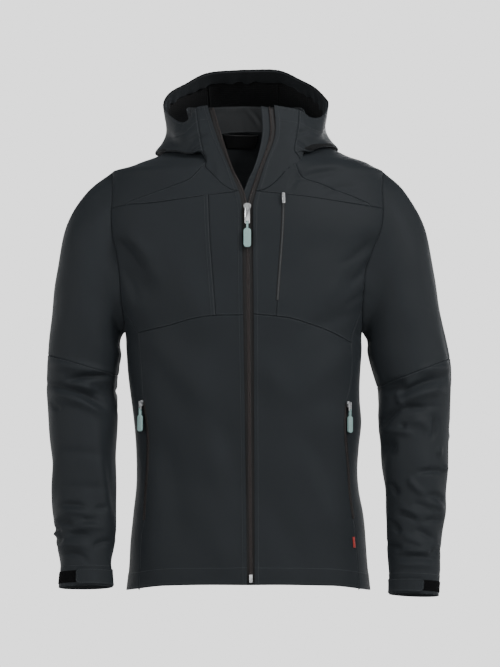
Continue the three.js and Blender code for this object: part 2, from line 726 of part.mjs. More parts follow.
function hoodPoint(station, share, lift = 0) {
  const fade = Math.sin(Math.PI * Math.min(1, share * 1.2 + 0.1)) ** 0.5 || 0;
  const height = hoodFold(station, share) * fade;
  return hoodBase(station, share).addScaledVector(hoodNormal(station, share), height + lift);
}

const HOOD_ROWS = 12;

function hoodCloth(from, to, columns) {
  const places = steps(HOOD_ROWS).map((v) => steps(columns).map((u) => [mix(from, to, u), v]));
  const points = places.map((row) => row.map(([station, share]) => hoodPoint(station, share)));
  const normals = places.map((row) => row.map(([station, share]) => hoodNormal(station, share)));
  return clothWall(points, { normals });
}

add("collar_front_R", hoodCloth(-10, -9, 3), COLOURS.shell);
add("hood_side_R", hoodCloth(-9, -1, 15), COLOURS.shell);
add("hood_centre", hoodCloth(-1, 1, 5), COLOURS.shell);
add("hood_side_L", hoodCloth(1, 9, 15), COLOURS.shell);
add("collar_front_L", hoodCloth(9, 10, 3), COLOURS.shell);

// Collar stand: a band inside the hood that rises from the neck seam round the back.
const standGrid = steps(3).map((v) =>
  steps(18).map((u) => {
    const turn = mix(STAND_FROM, 360 - STAND_FROM, u);
    const even = 180 - Math.abs(180 - turn);
    const signed = turn > 180 ? turn - 360 : turn;
    const foot = bodyBase(signed, neckHeight(even));
    const out = new THREE.Vector3(foot.x - STAND_CENTRE, foot.y, 0).normalize();
    const behind = Math.min(1, (even - STAND_FROM) / STAND_RISE.over);
    const height = STAND_HEIGHT * mix(STAND_RISE.ends, STAND_RISE.back, behind);
    foot.addScaledVector(out, -STAND_INSET + STAND_LEAN * v);
    return foot.add(new THREE.Vector3(STAND_DRIFT * v, 0, height * v));
  }),
);
add("collar_stand", clothWall(standGrid, { wall: STAND_WALL }), COLOURS.lining);

// Sleeves

// Sections down each arm: the outer and inner point of the outline, how far back or forward
// the middle lies and half the depth. Row 0 is the armhole.
const ARM_COLUMNS = ["at", "outX", "outZ", "inX", "inZ", "midY", "depth"];
const ARMS = {
  [RIGHT]: table(ARM_COLUMNS, [
    [0, -231, -19, -212, -292, 0, 62],
    [1, -276, -54, -217, -298, 0, 66],
    [2, -311, -112, -220, -305, 0, 70],
    [3, -329, -196, -221, -316, -1, 71],
    [4, -337, -269, -219, -334, -2, 69],
    [5, -343.5, -332, -224.5, -367, -4, 66],
    [6, -345, -382, -224.2, -408, -7, 64],
    [7, -342.6, -425, -223.9, -441.7, -11, 61],
    [8, -338.3, -475, -225, -483.6, -18, 58],
    [9, -334, -520, -224.4, -525, -27, 55],
    [10, -333, -566.6, -224.6, -570, -37, 51],
    [11, -328.8, -611, -224, -608, -46, 47],
    [12, -323, -649, -226.7, -644, -55, 43],
    [13, -317.7, -678, -230.2, -676, -64, 40],
    [14, -317.8, -718.5, -229.6, -717, -73, 38],
  ]),
  [LEFT]: table(ARM_COLUMNS, [
    [0, 222, -19, 189, -292, 0, 62],
    [1, 263, -54, 194, -298, 0, 66],
    [2, 297, -114, 198, -304, 0, 70],
    [3, 313, -200, 200, -313, -1, 71],
    [4, 326, -275, 201, -332, -2, 69],
    [5, 338.5, -338, 216, -386, -4, 66],
    [6, 341.4, -391, 217.4, -411.4, -7, 64],
    [7, 339.2, -433, 217.1, -441.7, -11, 61],
    [8, 336.7, -475, 220, -480, -18, 58],
    [9, 334, -520, 222.7, -520, -27, 55],
    [10, 329.7, -561.6, 227, -558, -37, 51],
    [11, 328.8, -594.5, 228.2, -594.5, -46, 47],
    [12, 321.3, -632, 229.2, -637, -55, 43],
    [13, 317, -691, 231.8, -691, -66, 40],
    [14, 314.5, -732, 231.3, -728.5, -74, 38],
  ]),
};

// Folds across the sleeves: row of the arm table, turn round the arm (0 outer, 90 front,
// 180 inner, 270 back), slant in rows for a quarter turn, half length in degrees, half width in
// rows and height.
const ARM_FOLD_COLUMNS = ["at", "turn", "slant", "length", "width", "height"];
const ARM_FOLDS = {
  [RIGHT]: table(ARM_FOLD_COLUMNS, [
    [5.6, 120, -0.3, 70, 0.32, 4.6],
    [6.25, 70, 0.7, 80, 0.3, -4.4],
    [6.9, 60, 0.5, 60, 0.35, 3.4],
    [5.7, 10, 0.4, 40, 0.3, -2.8],
    [7.4, 150, 0.4, 60, 0.4, 3],
    [8.1, 40, -0.3, 60, 0.4, -2.4],
    [9.2, 110, 0.4, 70, 0.4, 2.6],
    [9.9, 60, -0.4, 60, 0.35, -3],
    [10.5, 120, 0.5, 60, 0.32, 3.2],
    [11, 50, -0.5, 60, 0.3, -3.4],
    [11.45, 100, 0.4, 70, 0.3, 3.4],
    [11.9, 30, 0.3, 50, 0.28, -3.2],
    [12.3, 120, -0.4, 60, 0.3, -3.2],
    [12.7, 60, 0.3, 70, 0.28, 2.8],
    [6.2, 250, 0.4, 70, 0.35, -4],
    [7.1, 230, -0.4, 60, 0.35, 3.2],
    [10.2, 260, 0.4, 60, 0.35, -3],
    [11.3, 240, -0.4, 60, 0.3, 3],
    [12.1, 270, 0.3, 60, 0.3, -3],
    [2.6, 60, -0.8, 60, 0.6, 2.4],
    [3.6, 120, -0.6, 60, 0.5, -2.6],
    [1.6, 300, 0.6, 60, 0.5, -2.6],
  ]),
  [LEFT]: table(ARM_FOLD_COLUMNS, [
    [5.5, 125, -0.3, 60, 0.32, 4.8],
    [6, 60, 0.9, 80, 0.3, -4.8],
    [6.55, 80, 0.4, 70, 0.34, 4],
    [7, 120, -0.9, 60, 0.3, -4.2],
    [7.5, 60, 0.5, 60, 0.4, 3],
    [7.7, 165, 0.3, 40, 0.4, -4],
    [8.7, 100, -0.4, 70, 0.45, 2.6],
    [9.3, 40, 0.3, 60, 0.35, -3.2],
    [9.9, 110, 0.5, 70, 0.32, 3.4],
    [10.3, 60, -0.5, 60, 0.3, -3.6],
    [10.8, 120, 0.4, 70, 0.3, 3.4],
    [11.2, 50, 0.4, 60, 0.3, -3.4],
    [11.7, 100, -0.4, 70, 0.3, 3.2],
    [12.1, 30, -0.3, 50, 0.28, -3.4],
    [12.5, 110, 0.4, 60, 0.26, -2.8],
    [6.2, 250, 0.4, 70, 0.35, -4],
    [7.1, 235, -0.4, 60, 0.35, 3.2],
    [10.1, 260, 0.4, 60, 0.35, -3],
    [11.3, 245, -0.4, 60, 0.3, 3],
    [12.1, 275, 0.3, 60, 0.3, -3],
    [2.4, 70, -0.9, 60, 0.6, 2.6],
    [3.4, 120, -0.6, 60, 0.5, -3],
    [1.6, 300, 0.6, 60, 0.5, -2.6],
  ]),
};

const ELBOW_ROW = 5;
const LAST_ROW = 14;
const armFit = {};
for (const side of [RIGHT, LEFT]) {
  armFit[side] = Object.fromEntries(
    ARM_COLUMNS.slice(1).map((name) => [name, reading(ARMS[side], "at", name)]),
  );
}

function armSection(side, at) {
  const fit = armFit[side];
  const outer = new THREE.Vector3(fit.outX(at), fit.midY(at), fit.outZ(at));
  const inner = new THREE.Vector3(fit.inX(at), fit.midY(at), fit.inZ(at));
  const middle = outer.clone().add(inner).multiplyScalar(0.5);
  return { outer, inner, middle, depth: fit.depth(at) };
}

function armFold(side, at, turn) {
  let sum = 0;
  for (const fold of ARM_FOLDS[side]) {
    let around = turn - fold.turn;
    if (around > 180) around -= 360;
    if (around < -180) around += 360;
    const across = (at - fold.at - (fold.slant * around) / 90) / fold.width;
    const along = around / fold.length;
    sum += fold.height * Math.exp(-across * across - along * along);
  }
  return sum;
}

// A place on a sleeve, with the way out of the cloth there: row of the arm table and turn round
// the arm.
function armPlace(side, at, turn, lift = 0) {
  const here = armSection(side, at);
  const above = armSection(side, Math.max(0, at - 0.1)).middle;
  const below = armSection(side, Math.min(LAST_ROW, at + 0.1)).middle;
  const down = below.sub(above).normalize();
  const outward = here.outer.clone().sub(here.middle);
  const half = outward.length();
  outward.normalize();
  let forward = new THREE.Vector3().crossVectors(down, outward).normalize();
  if (forward.y > 0) forward.negate();
  const c = Math.cos(rad(turn));
  const s = Math.sin(rad(turn));
  const direction = outward
    .clone()
    .multiplyScalar(c / half)
    .addScaledVector(forward, s / here.depth)
    .normalize();
  const point = here.middle
    .clone()
    .addScaledVector(outward, half * c)
    .addScaledVector(forward, here.depth * s)
    .addScaledVector(direction, armFold(side, at, turn) + lift);
  return { point, normal: direction };
}

// The corners of the armhole, in order from the shoulder down the front and up the back.
function armholeLoop(side) {
  const fronts = [...ARM_SHOULDER, ...ARM_CHEST.slice(1), ...ARM_UNDER.slice(1)];
  const backs = [ARM_UNDER[1], ...ARM_BACK.slice(0, -1)];
  const middle = (ARM_TOP + ARM_BOTTOM) / 2;
  const half = (ARM_TOP - ARM_BOTTOM) / 2;
  const turnOf = (z) => deg(Math.acos(THREE.MathUtils.clamp((z - middle) / half, -1, 1)));
  return [
    ...fronts.map((z) => ({ turn: turnOf(z), place: armholePlace(side, z, false) })),
    ...backs.map((z) => ({ turn: 360 - turnOf(z), place: armholePlace(side, z, true) })),
  ];
}

const UPPER_ROWS = [0, 0.22, 0.55, 1, 1.5, 2, 2.6, 3.3, 4, 4.5, ELBOW_ROW];
const LOWER_STEP = 0.5;
const CAP_BLEND = 1.4; // the armhole's own shape fades out over this many rows

function sleeveCloth(places) {
  const points = places.map((row) => row.map((place) => place.point));
  const normals = places.map((row) => row.map((place) => place.normal));
  return clothWall(points, { wraps: true, normals });
}

for (const side of [RIGHT, LEFT]) {
  const loop = armholeLoop(side);
  const upper = UPPER_ROWS.map((at) =>
    loop.map(({ turn, place }) => {
      const smooth = Math.min(1, at / CAP_BLEND);
      const share = smooth * smooth * (3 - 2 * smooth);
      const section = armPlace(side, at, turn);
      const start = armPlace(side, 0, turn);
      const offset = bodyPoint(place[0], place[1]).sub(start.point).multiplyScalar(1 - share);
      const normal = bodyNormal(place[0], place[1]).lerp(section.normal, share).normalize();
      return { point: section.point.add(offset), normal };
    }),
  );
  add("sleeve_upper_" + tagOf(side), sleeveCloth(upper), COLOURS.shell);

  const count = Math.round((LAST_ROW - ELBOW_ROW) / LOWER_STEP);
  const lower = steps(count).map((v) =>
    loop.map(({ turn }) => armPlace(side, mix(ELBOW_ROW, LAST_ROW, v), turn)),
  );
  add("sleeve_lower_" + tagOf(side), sleeveCloth(lower), COLOURS.shell);
}

// Main zip, collar and flap

// The middle of the closed zip
const ZIP_MIDDLE = table(["z", "x"], [
  [-706, 1.6], [-535, 0], [-404, -1.3], [-272, -2.6], [-174, -3.6], [-100, -4.3], [-82, -4.5],
]);
const zipMiddle = reading(ZIP_MIDDLE, "z", "x");

// A place beside the front's edge. Along runs 0..1 up the body and 1..2 up the collar's edge;
// reach is the distance past the edge toward the middle, below 0 under the front.
function besideEdge(side, along, reach, lift) {
  if (along <= 1) {
    const z = mix(ZIP_FOOT, EDGE_TOP - 3, along);
    const x = reading(SEAMS[side].edge, "z", "x")(z) - side * reach;
    return bodyPoint(turnAtX(x, z), z, lift);
  }
  const share = mix(0.985, 0.02, along - 1);
  const edge = hoodBase(side * 10, share);
  const beyond = edge.clone().sub(hoodBase(side * 9.9, share)).normalize();
  return edge.addScaledVector(beyond, reach).addScaledVector(hoodNormal(side * 10, share), lift);
}

function tapeReach(side, along) {
  if (along > 1) return TAPE_REACH;
  const z = mix(ZIP_FOOT, EDGE_TOP - 3, along);
  const toMiddle = Math.abs(reading(SEAMS[side].edge, "z", "x")(z) - zipMiddle(z)) - TAPE_GAP;
  return z > ZIP_OPEN ? Math.min(toMiddle, TAPE_REACH) : toMiddle;
}

const EDGE_ALONG = [...steps(14), ...steps(8).slice(1).map((t) => 1 + t)];
for (const side of [RIGHT, LEFT]) {
  const tape = EDGE_ALONG.map((along) =>
    [-TAPE_UNDERLAP, 0, tapeReach(side, along)].map((reach) =>
      besideEdge(side, along, reach, -TAPE_DEPTH),
    ),
  );
  const grid = side === RIGHT ? tape : tape.map((row) => [...row].reverse());
  add("zip_tape_" + tagOf(side), clothWall(grid, { wall: TAPE_WALL, gap: 0 }), COLOURS.tape);
}

const flap = EDGE_ALONG.map((along) =>
  [FLAP_REACH, 4, -FLAP_UNDERLAP].map((reach) => besideEdge(LEFT, along, reach, -FLAP_DEPTH)),
);
add("wind_flap", clothWall(flap, { wall: FLAP_WALL, gap: 0 }), COLOURS.lining);

// Pieces sewn on

// A strip of body cloth, given by rows of z and x on the front.
function bodyStrip(centre, width, from, to, rows, lift) {
  return steps(rows).map((t) => {
    const z = mix(from, to, t);
    const middle = turnAtX(centre(z), z);
    const perMm = 1 / bodyBase(middle + 0.5, z).distanceTo(bodyBase(middle - 0.5, z));
    return [-0.5, 0, 0.5].map((k) => bodyPoint(middle + k * width * perMm, z, lift + TRIM_WALL));
  });
}

for (const side of [RIGHT, LEFT]) {
  const centre = reading(SEAMS[side].side, "z", "x");
  const [from, to] = POCKET_ZIP[side];
  const strip = bodyStrip(centre, POCKET_ZIP.width, from, to, 9, ON_CLOTH);
  add("pocket_zip_" + tagOf(side), clothWall(strip, { wall: TRIM_WALL, gap: 0 }), COLOURS.tape);
}
const chestLine = reading([...SEAMS[LEFT].split].reverse(), "z", "x");
const chestStrip = bodyStrip(chestLine, CHEST_ZIP.width, CHEST_ZIP.from, CHEST_ZIP.to, 7, ON_CLOTH);
add("chest_zip", clothWall(chestStrip, { wall: TRIM_WALL, gap: 0 }), COLOURS.tape);

// Red tag folded into the wearer's left side seam
const tagStrip = bodyStrip(
  (z) => reading(SEAMS[LEFT].side, "z", "x")(z) - TAG.inset,
  TAG.width, TAG.from, TAG.to, 1, ON_CLOTH,
);
add("side_tag", clothWall(tagStrip, { wall: TRIM_WALL, gap: 0 }), COLOURS.tag);

// Label inside the back of the neck, narrower at its foot
const LABEL = table(["z", "left", "right"], [[51, 15, -47], [40, 13, -45], [29, 8, -40]]);
const labelGrid = LABEL.map((row) =>
  steps(4).map((u) => {
    const x = mix(row.left, row.right, u);
    return bodyPoint(turnAtX(x, row.z, true), row.z, LABEL_LIFT);
  }),
);
add("neck_label", clothWall([...labelGrid].reverse(), { wall: LABEL_WALL, gap: 0 }), COLOURS.patch);

// Cuff tabs and the patches they close on, by row of the arm table and turn round the arm
const TAB_LIFT = table(["turn", "lift"], [[74, 2.1], [104, 2.1], [122, 0.8], [204, 0.8]]);
const tabLift = reading(TAB_LIFT, "turn", "lift");

function sleevePatch(side, rows, turns, liftAt, wall) {
  const places = rows.map((row) =>
    turns.map((turn, i) => armPlace(side, row(i), turn, liftAt(turn) + wall)),
  );
  const points = places.map((row) => row.map((place) => place.point));
  const normals = places.map((row) => row.map((place) => place.normal));
  return clothWall(points, { wall, gap: 0, normals });
}

for (const side of [RIGHT, LEFT]) {
  const patchTurns = steps(10).map((t) => mix(PATCH.from, PATCH.to, t));
  const patchRows = [() => PATCH.top, () => PATCH.foot];
  const patch = sleevePatch(side, patchRows, patchTurns, () => PATCH.lift, PATCH.wall);
  add("cuff_patch_" + tagOf(side), patch, COLOURS.patch);
  const tabTurns = [...steps(10).map((t) => mix(TAB.from, TAB.to + TAB.corner, t)), TAB.to];
  const draw = (i) => (i === tabTurns.length - 1 ? TAB.rounding : 0);
  const tabRows = [
    (i) => TAB.top + draw(i),
    () => (TAB.top + TAB.foot) / 2,
    (i) => TAB.foot - draw(i),
  ];
  const tab = sleevePatch(side, tabRows, tabTurns, tabLift, TRIM_WALL);
  add("cuff_tab_" + tagOf(side), tab, COLOURS.shell);
}

// Zip sliders and pulls, made in a frame of their own: x along the cloth, -y out of it, z up.

function solidOf(geometry) {
  const plain = geometry.index ? geometry.toNonIndexed() : geometry;
  const places = plain.getAttribute("position").array;
  const seen = new Map();
  const vertices = [];
  const triVerts = [];
  for (let i = 0; i < places.length; i += 3) {
    const corner = [places[i], places[i + 1], places[i + 2]];
    const key = corner.map((v) => Math.round(v * 1e4)).join(",");
    if (!seen.has(key)) {
      seen.set(key, seen.size);
      vertices.push(...corner);
    }
    triVerts.push(seen.get(key));
  }
  return new wasm.Manifold(
    new wasm.Mesh({
      numProp: 3,
      vertProperties: new Float32Array(vertices),
      triVerts: new Uint32Array(triVerts),
    }),
  );
}

function joined(...geometries) {
  const mesh = geometries.map(solidOf).reduce((all, next) => all.add(next)).getMesh();
  const geometry = new THREE.BufferGeometry();
  geometry.setAttribute("position", new THREE.Float32BufferAttribute([...mesh.vertProperties], 3));
  geometry.setIndex([...mesh.triVerts]);
  geometry.computeVertexNormals();
  return geometry;
}

// A flat plate from its outline in x and z, between two distances out of the cloth.
function plate(shape, from, to, curveSegments = 3) {
  const options = { depth: to - from, bevelEnabled: false, curveSegments };
  const geometry = new THREE.ExtrudeGeometry(shape, options);
  return geometry.translate(0, 0, from).rotateX(Math.PI / 2);
}

function roundedBox(halfWidth, low, high, corner) {
  const shape = new THREE.Shape();
  const w = halfWidth;
  shape.moveTo(-w + corner, low);
  shape.lineTo(w - corner, low);
  shape.absarc(w - corner, low + corner, corner, -Math.PI / 2, 0);
  shape.lineTo(w, high - corner);
  shape.absarc(w - corner, high - corner, corner, 0, Math.PI / 2);
  shape.lineTo(-w + corner, high);
  shape.absarc(-w + corner, high - corner, corner, Math.PI / 2, Math.PI);
  shape.lineTo(-w, low + corner);
  shape.absarc(-w + corner, low + corner, corner, Math.PI, 1.5 * Math.PI);
  return shape;
}

// Sizes of each slider: scale of the bridge and ring, half width and length of the body, its
// thickness, how far the ring hangs, and the half width and length of the moulded grip.
const PULLS = table(
  ["name", "scale", "bodyHalf", "bodyLength", "bodyWall", "ring", "stem", "gripHalf", "grip"],
  [
    ["zip", 1.3, 6.2, 17, 4.4, 26, 8, 6, 31],
    ["pocket", 0.95, 3.6, 10, 2.2, 11, 9, 4.6, 27],
    ["chest", 0.75, 2.6, 8, 1.8, 14, 0, 0, 0],
  ],
);
function sliderShape(size) {
  const k = size.scale;
  const axis = size.bodyWall + AXIS_RISE * k;
  const length = size.bodyLength / 2;
  const body = plate(roundedBox(size.bodyHalf, -length, length, size.bodyHalf * 0.5), 0, size.bodyWall);
  const postShape = (z) => roundedBox(0.8 * k, z - 0.6 * k, z + 0.6 * k, 0.2 * k);
  const post = (z) => plate(postShape(z), size.bodyWall - 0.4, axis + 2 * k, 1);
  const barShape = roundedBox(0.8 * k, -3.8 * k, 3.8 * k, 0.3 * k);
  const bar = plate(barShape, axis + 1.7 * k, axis + 2.9 * k, 2);
  return joined(body, post(3.2 * k), post(-3.2 * k), bar);
}

function ringShape(size) {
  const k = size.scale;
  const axis = size.bodyWall + AXIS_RISE * k;
  const shape = roundedBox(3.4 * k, -size.ring, 1.5 * k, 1.4 * k);
  shape.holes.push(roundedBox(0.8 * k + RING_PLAY, -5.9 * k, -1 * k, 0.4 * k));
  if (size.grip > 0) {
    const foot = -size.ring;
    shape.holes.push(roundedBox(1.7 * k, foot + 1.4 * k, foot + 3.4 * k, 0.6 * k));
  }
  return plate(shape, axis - (RING_WALL * k) / 2, axis + (RING_WALL * k) / 2, 3);
}

function gripShape(size) {
  const k = size.scale;
  const axis = size.bodyWall + AXIS_RISE * k;
  const half = (RING_WALL * k) / 2;
  const gap = 0.3;
  const skin = 1.1 * k;
  const slotMiddle = -size.ring + 2.4 * k;
  const stemFoot = -size.ring - size.stem;
  const strip = roundedBox(1.2 * k, stemFoot - 2, slotMiddle + 0.6 * k, 0.5 * k);
  const front = plate(strip, axis + half + gap, axis + half + gap + skin, 2);
  const back = plate(strip, axis - half - gap - skin, axis - half - gap, 2);
  const plug = plate(
    roundedBox(1 * k, slotMiddle - 0.6 * k, slotMiddle + 0.55 * k, 0.3 * k),
    axis - half - gap - skin / 2, axis + half + gap + skin / 2, 2,
  );
  const stem = plate(
    roundedBox(1.2 * k, stemFoot - 2, -size.ring - gap, 0.3 * k),
    axis - half - gap - skin / 2, axis + half + gap + skin / 2, 2,
  );
  const grip = plate(
    roundedBox(size.gripHalf, stemFoot - size.grip, stemFoot, size.gripHalf * 0.8),
    axis - half - gap - skin, axis + half + gap + skin, 3,
  );
  return joined(front, back, plug, stem, grip);
}

// Places a hardware shape on the cloth. Slope leans it to follow cloth that swells below it.
function placed(geometry, turn, z, lift, slope) {
  const normal = bodyNormal(turn, z);
  const out = new THREE.Vector3(normal.x, normal.y, 0).normalize();
  const across = new THREE.Vector3().crossVectors(out, new THREE.Vector3(0, 0, 1)).negate();
  const up = new THREE.Vector3(0, 0, Math.cos(rad(slope)));
  up.addScaledVector(out, -Math.sin(rad(slope)));
  const outward = new THREE.Vector3().crossVectors(across, up);
  const start = bodyBase(turn, z).addScaledVector(out, lift);
  const matrix = new THREE.Matrix4().makeBasis(across, outward.negate(), up).setPosition(start);
  return geometry.clone().applyMatrix4(matrix);
}

// Where each slider stands: its size, turn and height on the body, lift and slope.
const SLIDERS = [
  { name: "zip", size: "zip", turn: turnAtX(-4.5, -89), z: -89, lift: -1.9, slope: 5.4 },
  { name: "chest", size: "chest", turn: turnAtX(54.6, -67), z: -67, lift: 2.1, slope: 9 },
  { name: "pocket_R", size: "pocket", turn: turnAtX(-178.2, -411), z: -411, lift: 2.3, slope: 0 },
  { name: "pocket_L", size: "pocket", turn: turnAtX(161.8, -413), z: -413, lift: 2.3, slope: 0 },
];
for (const slider of SLIDERS) {
  const size = PULLS.find((row) => row.name === slider.size);
  const put = (geometry) => placed(geometry, slider.turn, slider.z, slider.lift, slider.slope);
  add(slider.name + "_slider", put(sliderShape(size)), COLOURS.metal, METAL);
  add(slider.name + "_pull", put(ringShape(size)), COLOURS.metal, METAL);
  if (size.grip > 0) add(slider.name + "_grip", put(gripShape(size)), COLOURS.grip, RUBBER);
}

// Bottom stop of the main zip
const stopShape = roundedBox(STOP.half, STOP.low - STOP.middle, STOP.high - STOP.middle, 0.8);
const stop = plate(stopShape, 0, STOP.wall, 2);
const stopTurn = turnAtX(STOP.x, STOP.middle);
add("zip_bottom_stop", placed(stop, stopTurn, STOP.middle, STOP.lift, 0), COLOURS.metal, METAL);

export default jacket;
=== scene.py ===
# %% [markdown]
# # A hooded softshell jacket
# The real jacket is cut from one bonded cloth: a tight woven face on a thin brushed back. It is
# firm enough to keep a smooth chest and only breaks into sharp creases where an arm bends.
# Such a garment could be draped by simulation from flat patterns. Here each pattern piece is
# computed from a few tables of sizes instead, because a photograph fixes where the outline and
# the creases lie, and a computed surface puts them exactly there every time.
# Sizes are in millimetres until a mesh is made, when they become metres.

# %% Open the frame
import math

import bpy
import numpy as np
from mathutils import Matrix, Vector


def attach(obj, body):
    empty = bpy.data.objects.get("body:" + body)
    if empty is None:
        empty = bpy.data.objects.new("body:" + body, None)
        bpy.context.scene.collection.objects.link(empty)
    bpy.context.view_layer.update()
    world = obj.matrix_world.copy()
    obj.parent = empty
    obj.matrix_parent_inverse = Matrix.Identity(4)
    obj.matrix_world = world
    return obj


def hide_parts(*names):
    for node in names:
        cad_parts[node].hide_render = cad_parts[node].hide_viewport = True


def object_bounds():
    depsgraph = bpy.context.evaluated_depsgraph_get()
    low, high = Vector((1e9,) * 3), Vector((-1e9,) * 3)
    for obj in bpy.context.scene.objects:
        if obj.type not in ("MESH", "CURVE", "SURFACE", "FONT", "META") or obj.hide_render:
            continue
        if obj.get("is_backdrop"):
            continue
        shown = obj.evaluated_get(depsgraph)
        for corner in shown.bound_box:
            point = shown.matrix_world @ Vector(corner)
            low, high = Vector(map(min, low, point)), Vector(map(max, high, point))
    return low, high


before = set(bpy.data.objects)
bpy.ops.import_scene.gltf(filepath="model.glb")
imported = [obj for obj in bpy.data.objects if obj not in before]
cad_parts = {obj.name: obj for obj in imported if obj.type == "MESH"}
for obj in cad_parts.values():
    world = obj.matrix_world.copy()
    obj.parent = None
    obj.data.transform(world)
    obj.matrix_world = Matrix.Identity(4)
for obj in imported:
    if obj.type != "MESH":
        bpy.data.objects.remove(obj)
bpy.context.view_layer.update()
RIGHT, LEFT = -1, 1
LETTER = {RIGHT: "R", LEFT: "L"}
JACKET = "jacket"
WALL = 1.1
rng = np.random.default_rng(7)

# %% [markdown]
# Every form below is read from a table, so a reader can change one number and see what moves.
# `reading` draws a smooth curve through one column of a table, as a tailor's curve joins marks.

# %% Tables and smooth readings
def table(columns, rows):
    return [dict(zip(columns, row)) for row in rows]


def reading(rows, key, name):
    rows = sorted(rows, key=lambda row: row[key])
    xs = np.array([row[key] for row in rows], float)
    ys = np.array([row[name] for row in rows], float)
    ahead = np.minimum(np.arange(len(xs)) + 1, len(xs) - 1)
    behind = np.maximum(np.arange(len(xs)) - 1, 0)
    slopes = (ys[ahead] - ys[behind]) / (xs[ahead] - xs[behind])

    def read(x):
        x = np.clip(np.asarray(x, float), xs[0], xs[-1])
        i = np.clip(np.searchsorted(xs, x, side="right") - 1, 0, len(xs) - 2)
        span = xs[i + 1] - xs[i]
        t = (x - xs[i]) / span
        t2, t3 = t * t, t ** 3
        return (
            ys[i] * (2 * t3 - 3 * t2 + 1)
            + slopes[i] * span * (t3 - 2 * t2 + t)
            + ys[i + 1] * (3 * t2 - 2 * t3)
            + slopes[i + 1] * span * (t3 - t2)
        )

    return read


def readings(rows, key):
    return {name: reading(rows, key, name) for name in rows[0] if name != key}


def mix(a, b, t):
    return a + (b - a) * t


def unit(v):
    return v / np.maximum(np.linalg.norm(v, axis=-1, keepdims=True), 1e-9)


# %% [markdown]
# ## The body
# A jacket filled out as worn is a stack of rounded sections: wide at the hem, drawn in at the
# waist, deep at the chest, then closing over the shoulders to the neck. Each row gives one
# section. The power says how square it is, from 2 for an ellipse upwards.

# %% Sections of the body
BODY = table(["z", "half", "front", "back", "shift", "power"], [
    [-745, 208, 123, 126, -2, 2.5],
    [-692, 203, 120, 120, -3, 2.5],
    [-646, 200, 117, 115, -3, 2.5],
    [-600, 195, 114, 110, -3, 2.5],
    [-561, 189, 112, 107, -4, 2.5],
    [-527, 187, 111, 105, -5, 2.5],
    [-488, 189, 111, 105, -4, 2.45],
    [-447, 193, 112, 107, -4, 2.45],
    [-408, 194, 113, 111, -7, 2.4],
    [-362, 197, 116, 116, -10, 2.4],
    [-323, 199.5, 118, 120, -10, 2.4],
    [-292, 201, 120, 123, -11, 2.4],
    [-240, 219, 121, 127, -12, 2.4],
    [-200, 227, 120, 129, -13, 2.4],
    [-165, 237, 119, 129, -11, 2.35],
    [-128, 249, 117, 127, -7, 2.3],
    [-98, 252, 114, 124, -5, 2.2],
    [-71, 248, 110, 120, -4, 2.1],
    [-45, 241, 105, 116, -4, 2],
    [-30, 233, 101, 113, -4, 2],
    [-19, 228, 98, 111, -3, 2],
    [-12, 207, 95, 109, 3, 2],
    [-4, 189, 89, 107, 6, 2],
    [5, 163, 80, 104, 5, 2],
    [17, 140, 66, 100, 4, 2],
    [28, 114, 52, 95, 0, 2],
    [38, 92, 38, 90, -2, 2],
    [50, 68, 22, 82, -3, 2],
    [64, 44, 10, 72, -4, 2],
])
body_fit = readings(BODY, "z")


def body_base(turn, z):
    """A place on the plain body: turn is 0 at the middle of the front and 90 at the left side."""
    s, c = np.sin(np.radians(turn)), np.cos(np.radians(turn))
    power = 2 / body_fit["power"](z)
    depth = np.where(c > 0, body_fit["front"](z), body_fit["back"](z))
    x = body_fit["shift"](z) + body_fit["half"](z) * np.sign(s) * np.abs(s) ** power
    y = -depth * np.sign(c) * np.abs(c) ** power
    return np.stack([x, y, np.broadcast_to(z, x.shape)], -1)


def body_normal(turn, z):
    around = body_base(turn + 0.5, z) - body_base(turn - 0.5, z)
    up = body_base(turn, z + 0.5) - body_base(turn, z - 0.5)
    return unit(np.cross(around, up))


def turn_at_x(x, z, on_back=False):
    reach = (x - body_fit["shift"](z)) / body_fit["half"](z)
    share = np.minimum(1, np.abs(reach)) ** (body_fit["power"](z) / 2)
    turn = np.degrees(np.arcsin(share)) * np.sign(reach)
    return np.where(np.asarray(reach) < 0, -180, 180) - turn if on_back else turn


print(len(BODY), "sections from", BODY[0]["z"], "to", BODY[-1]["z"], "mm")
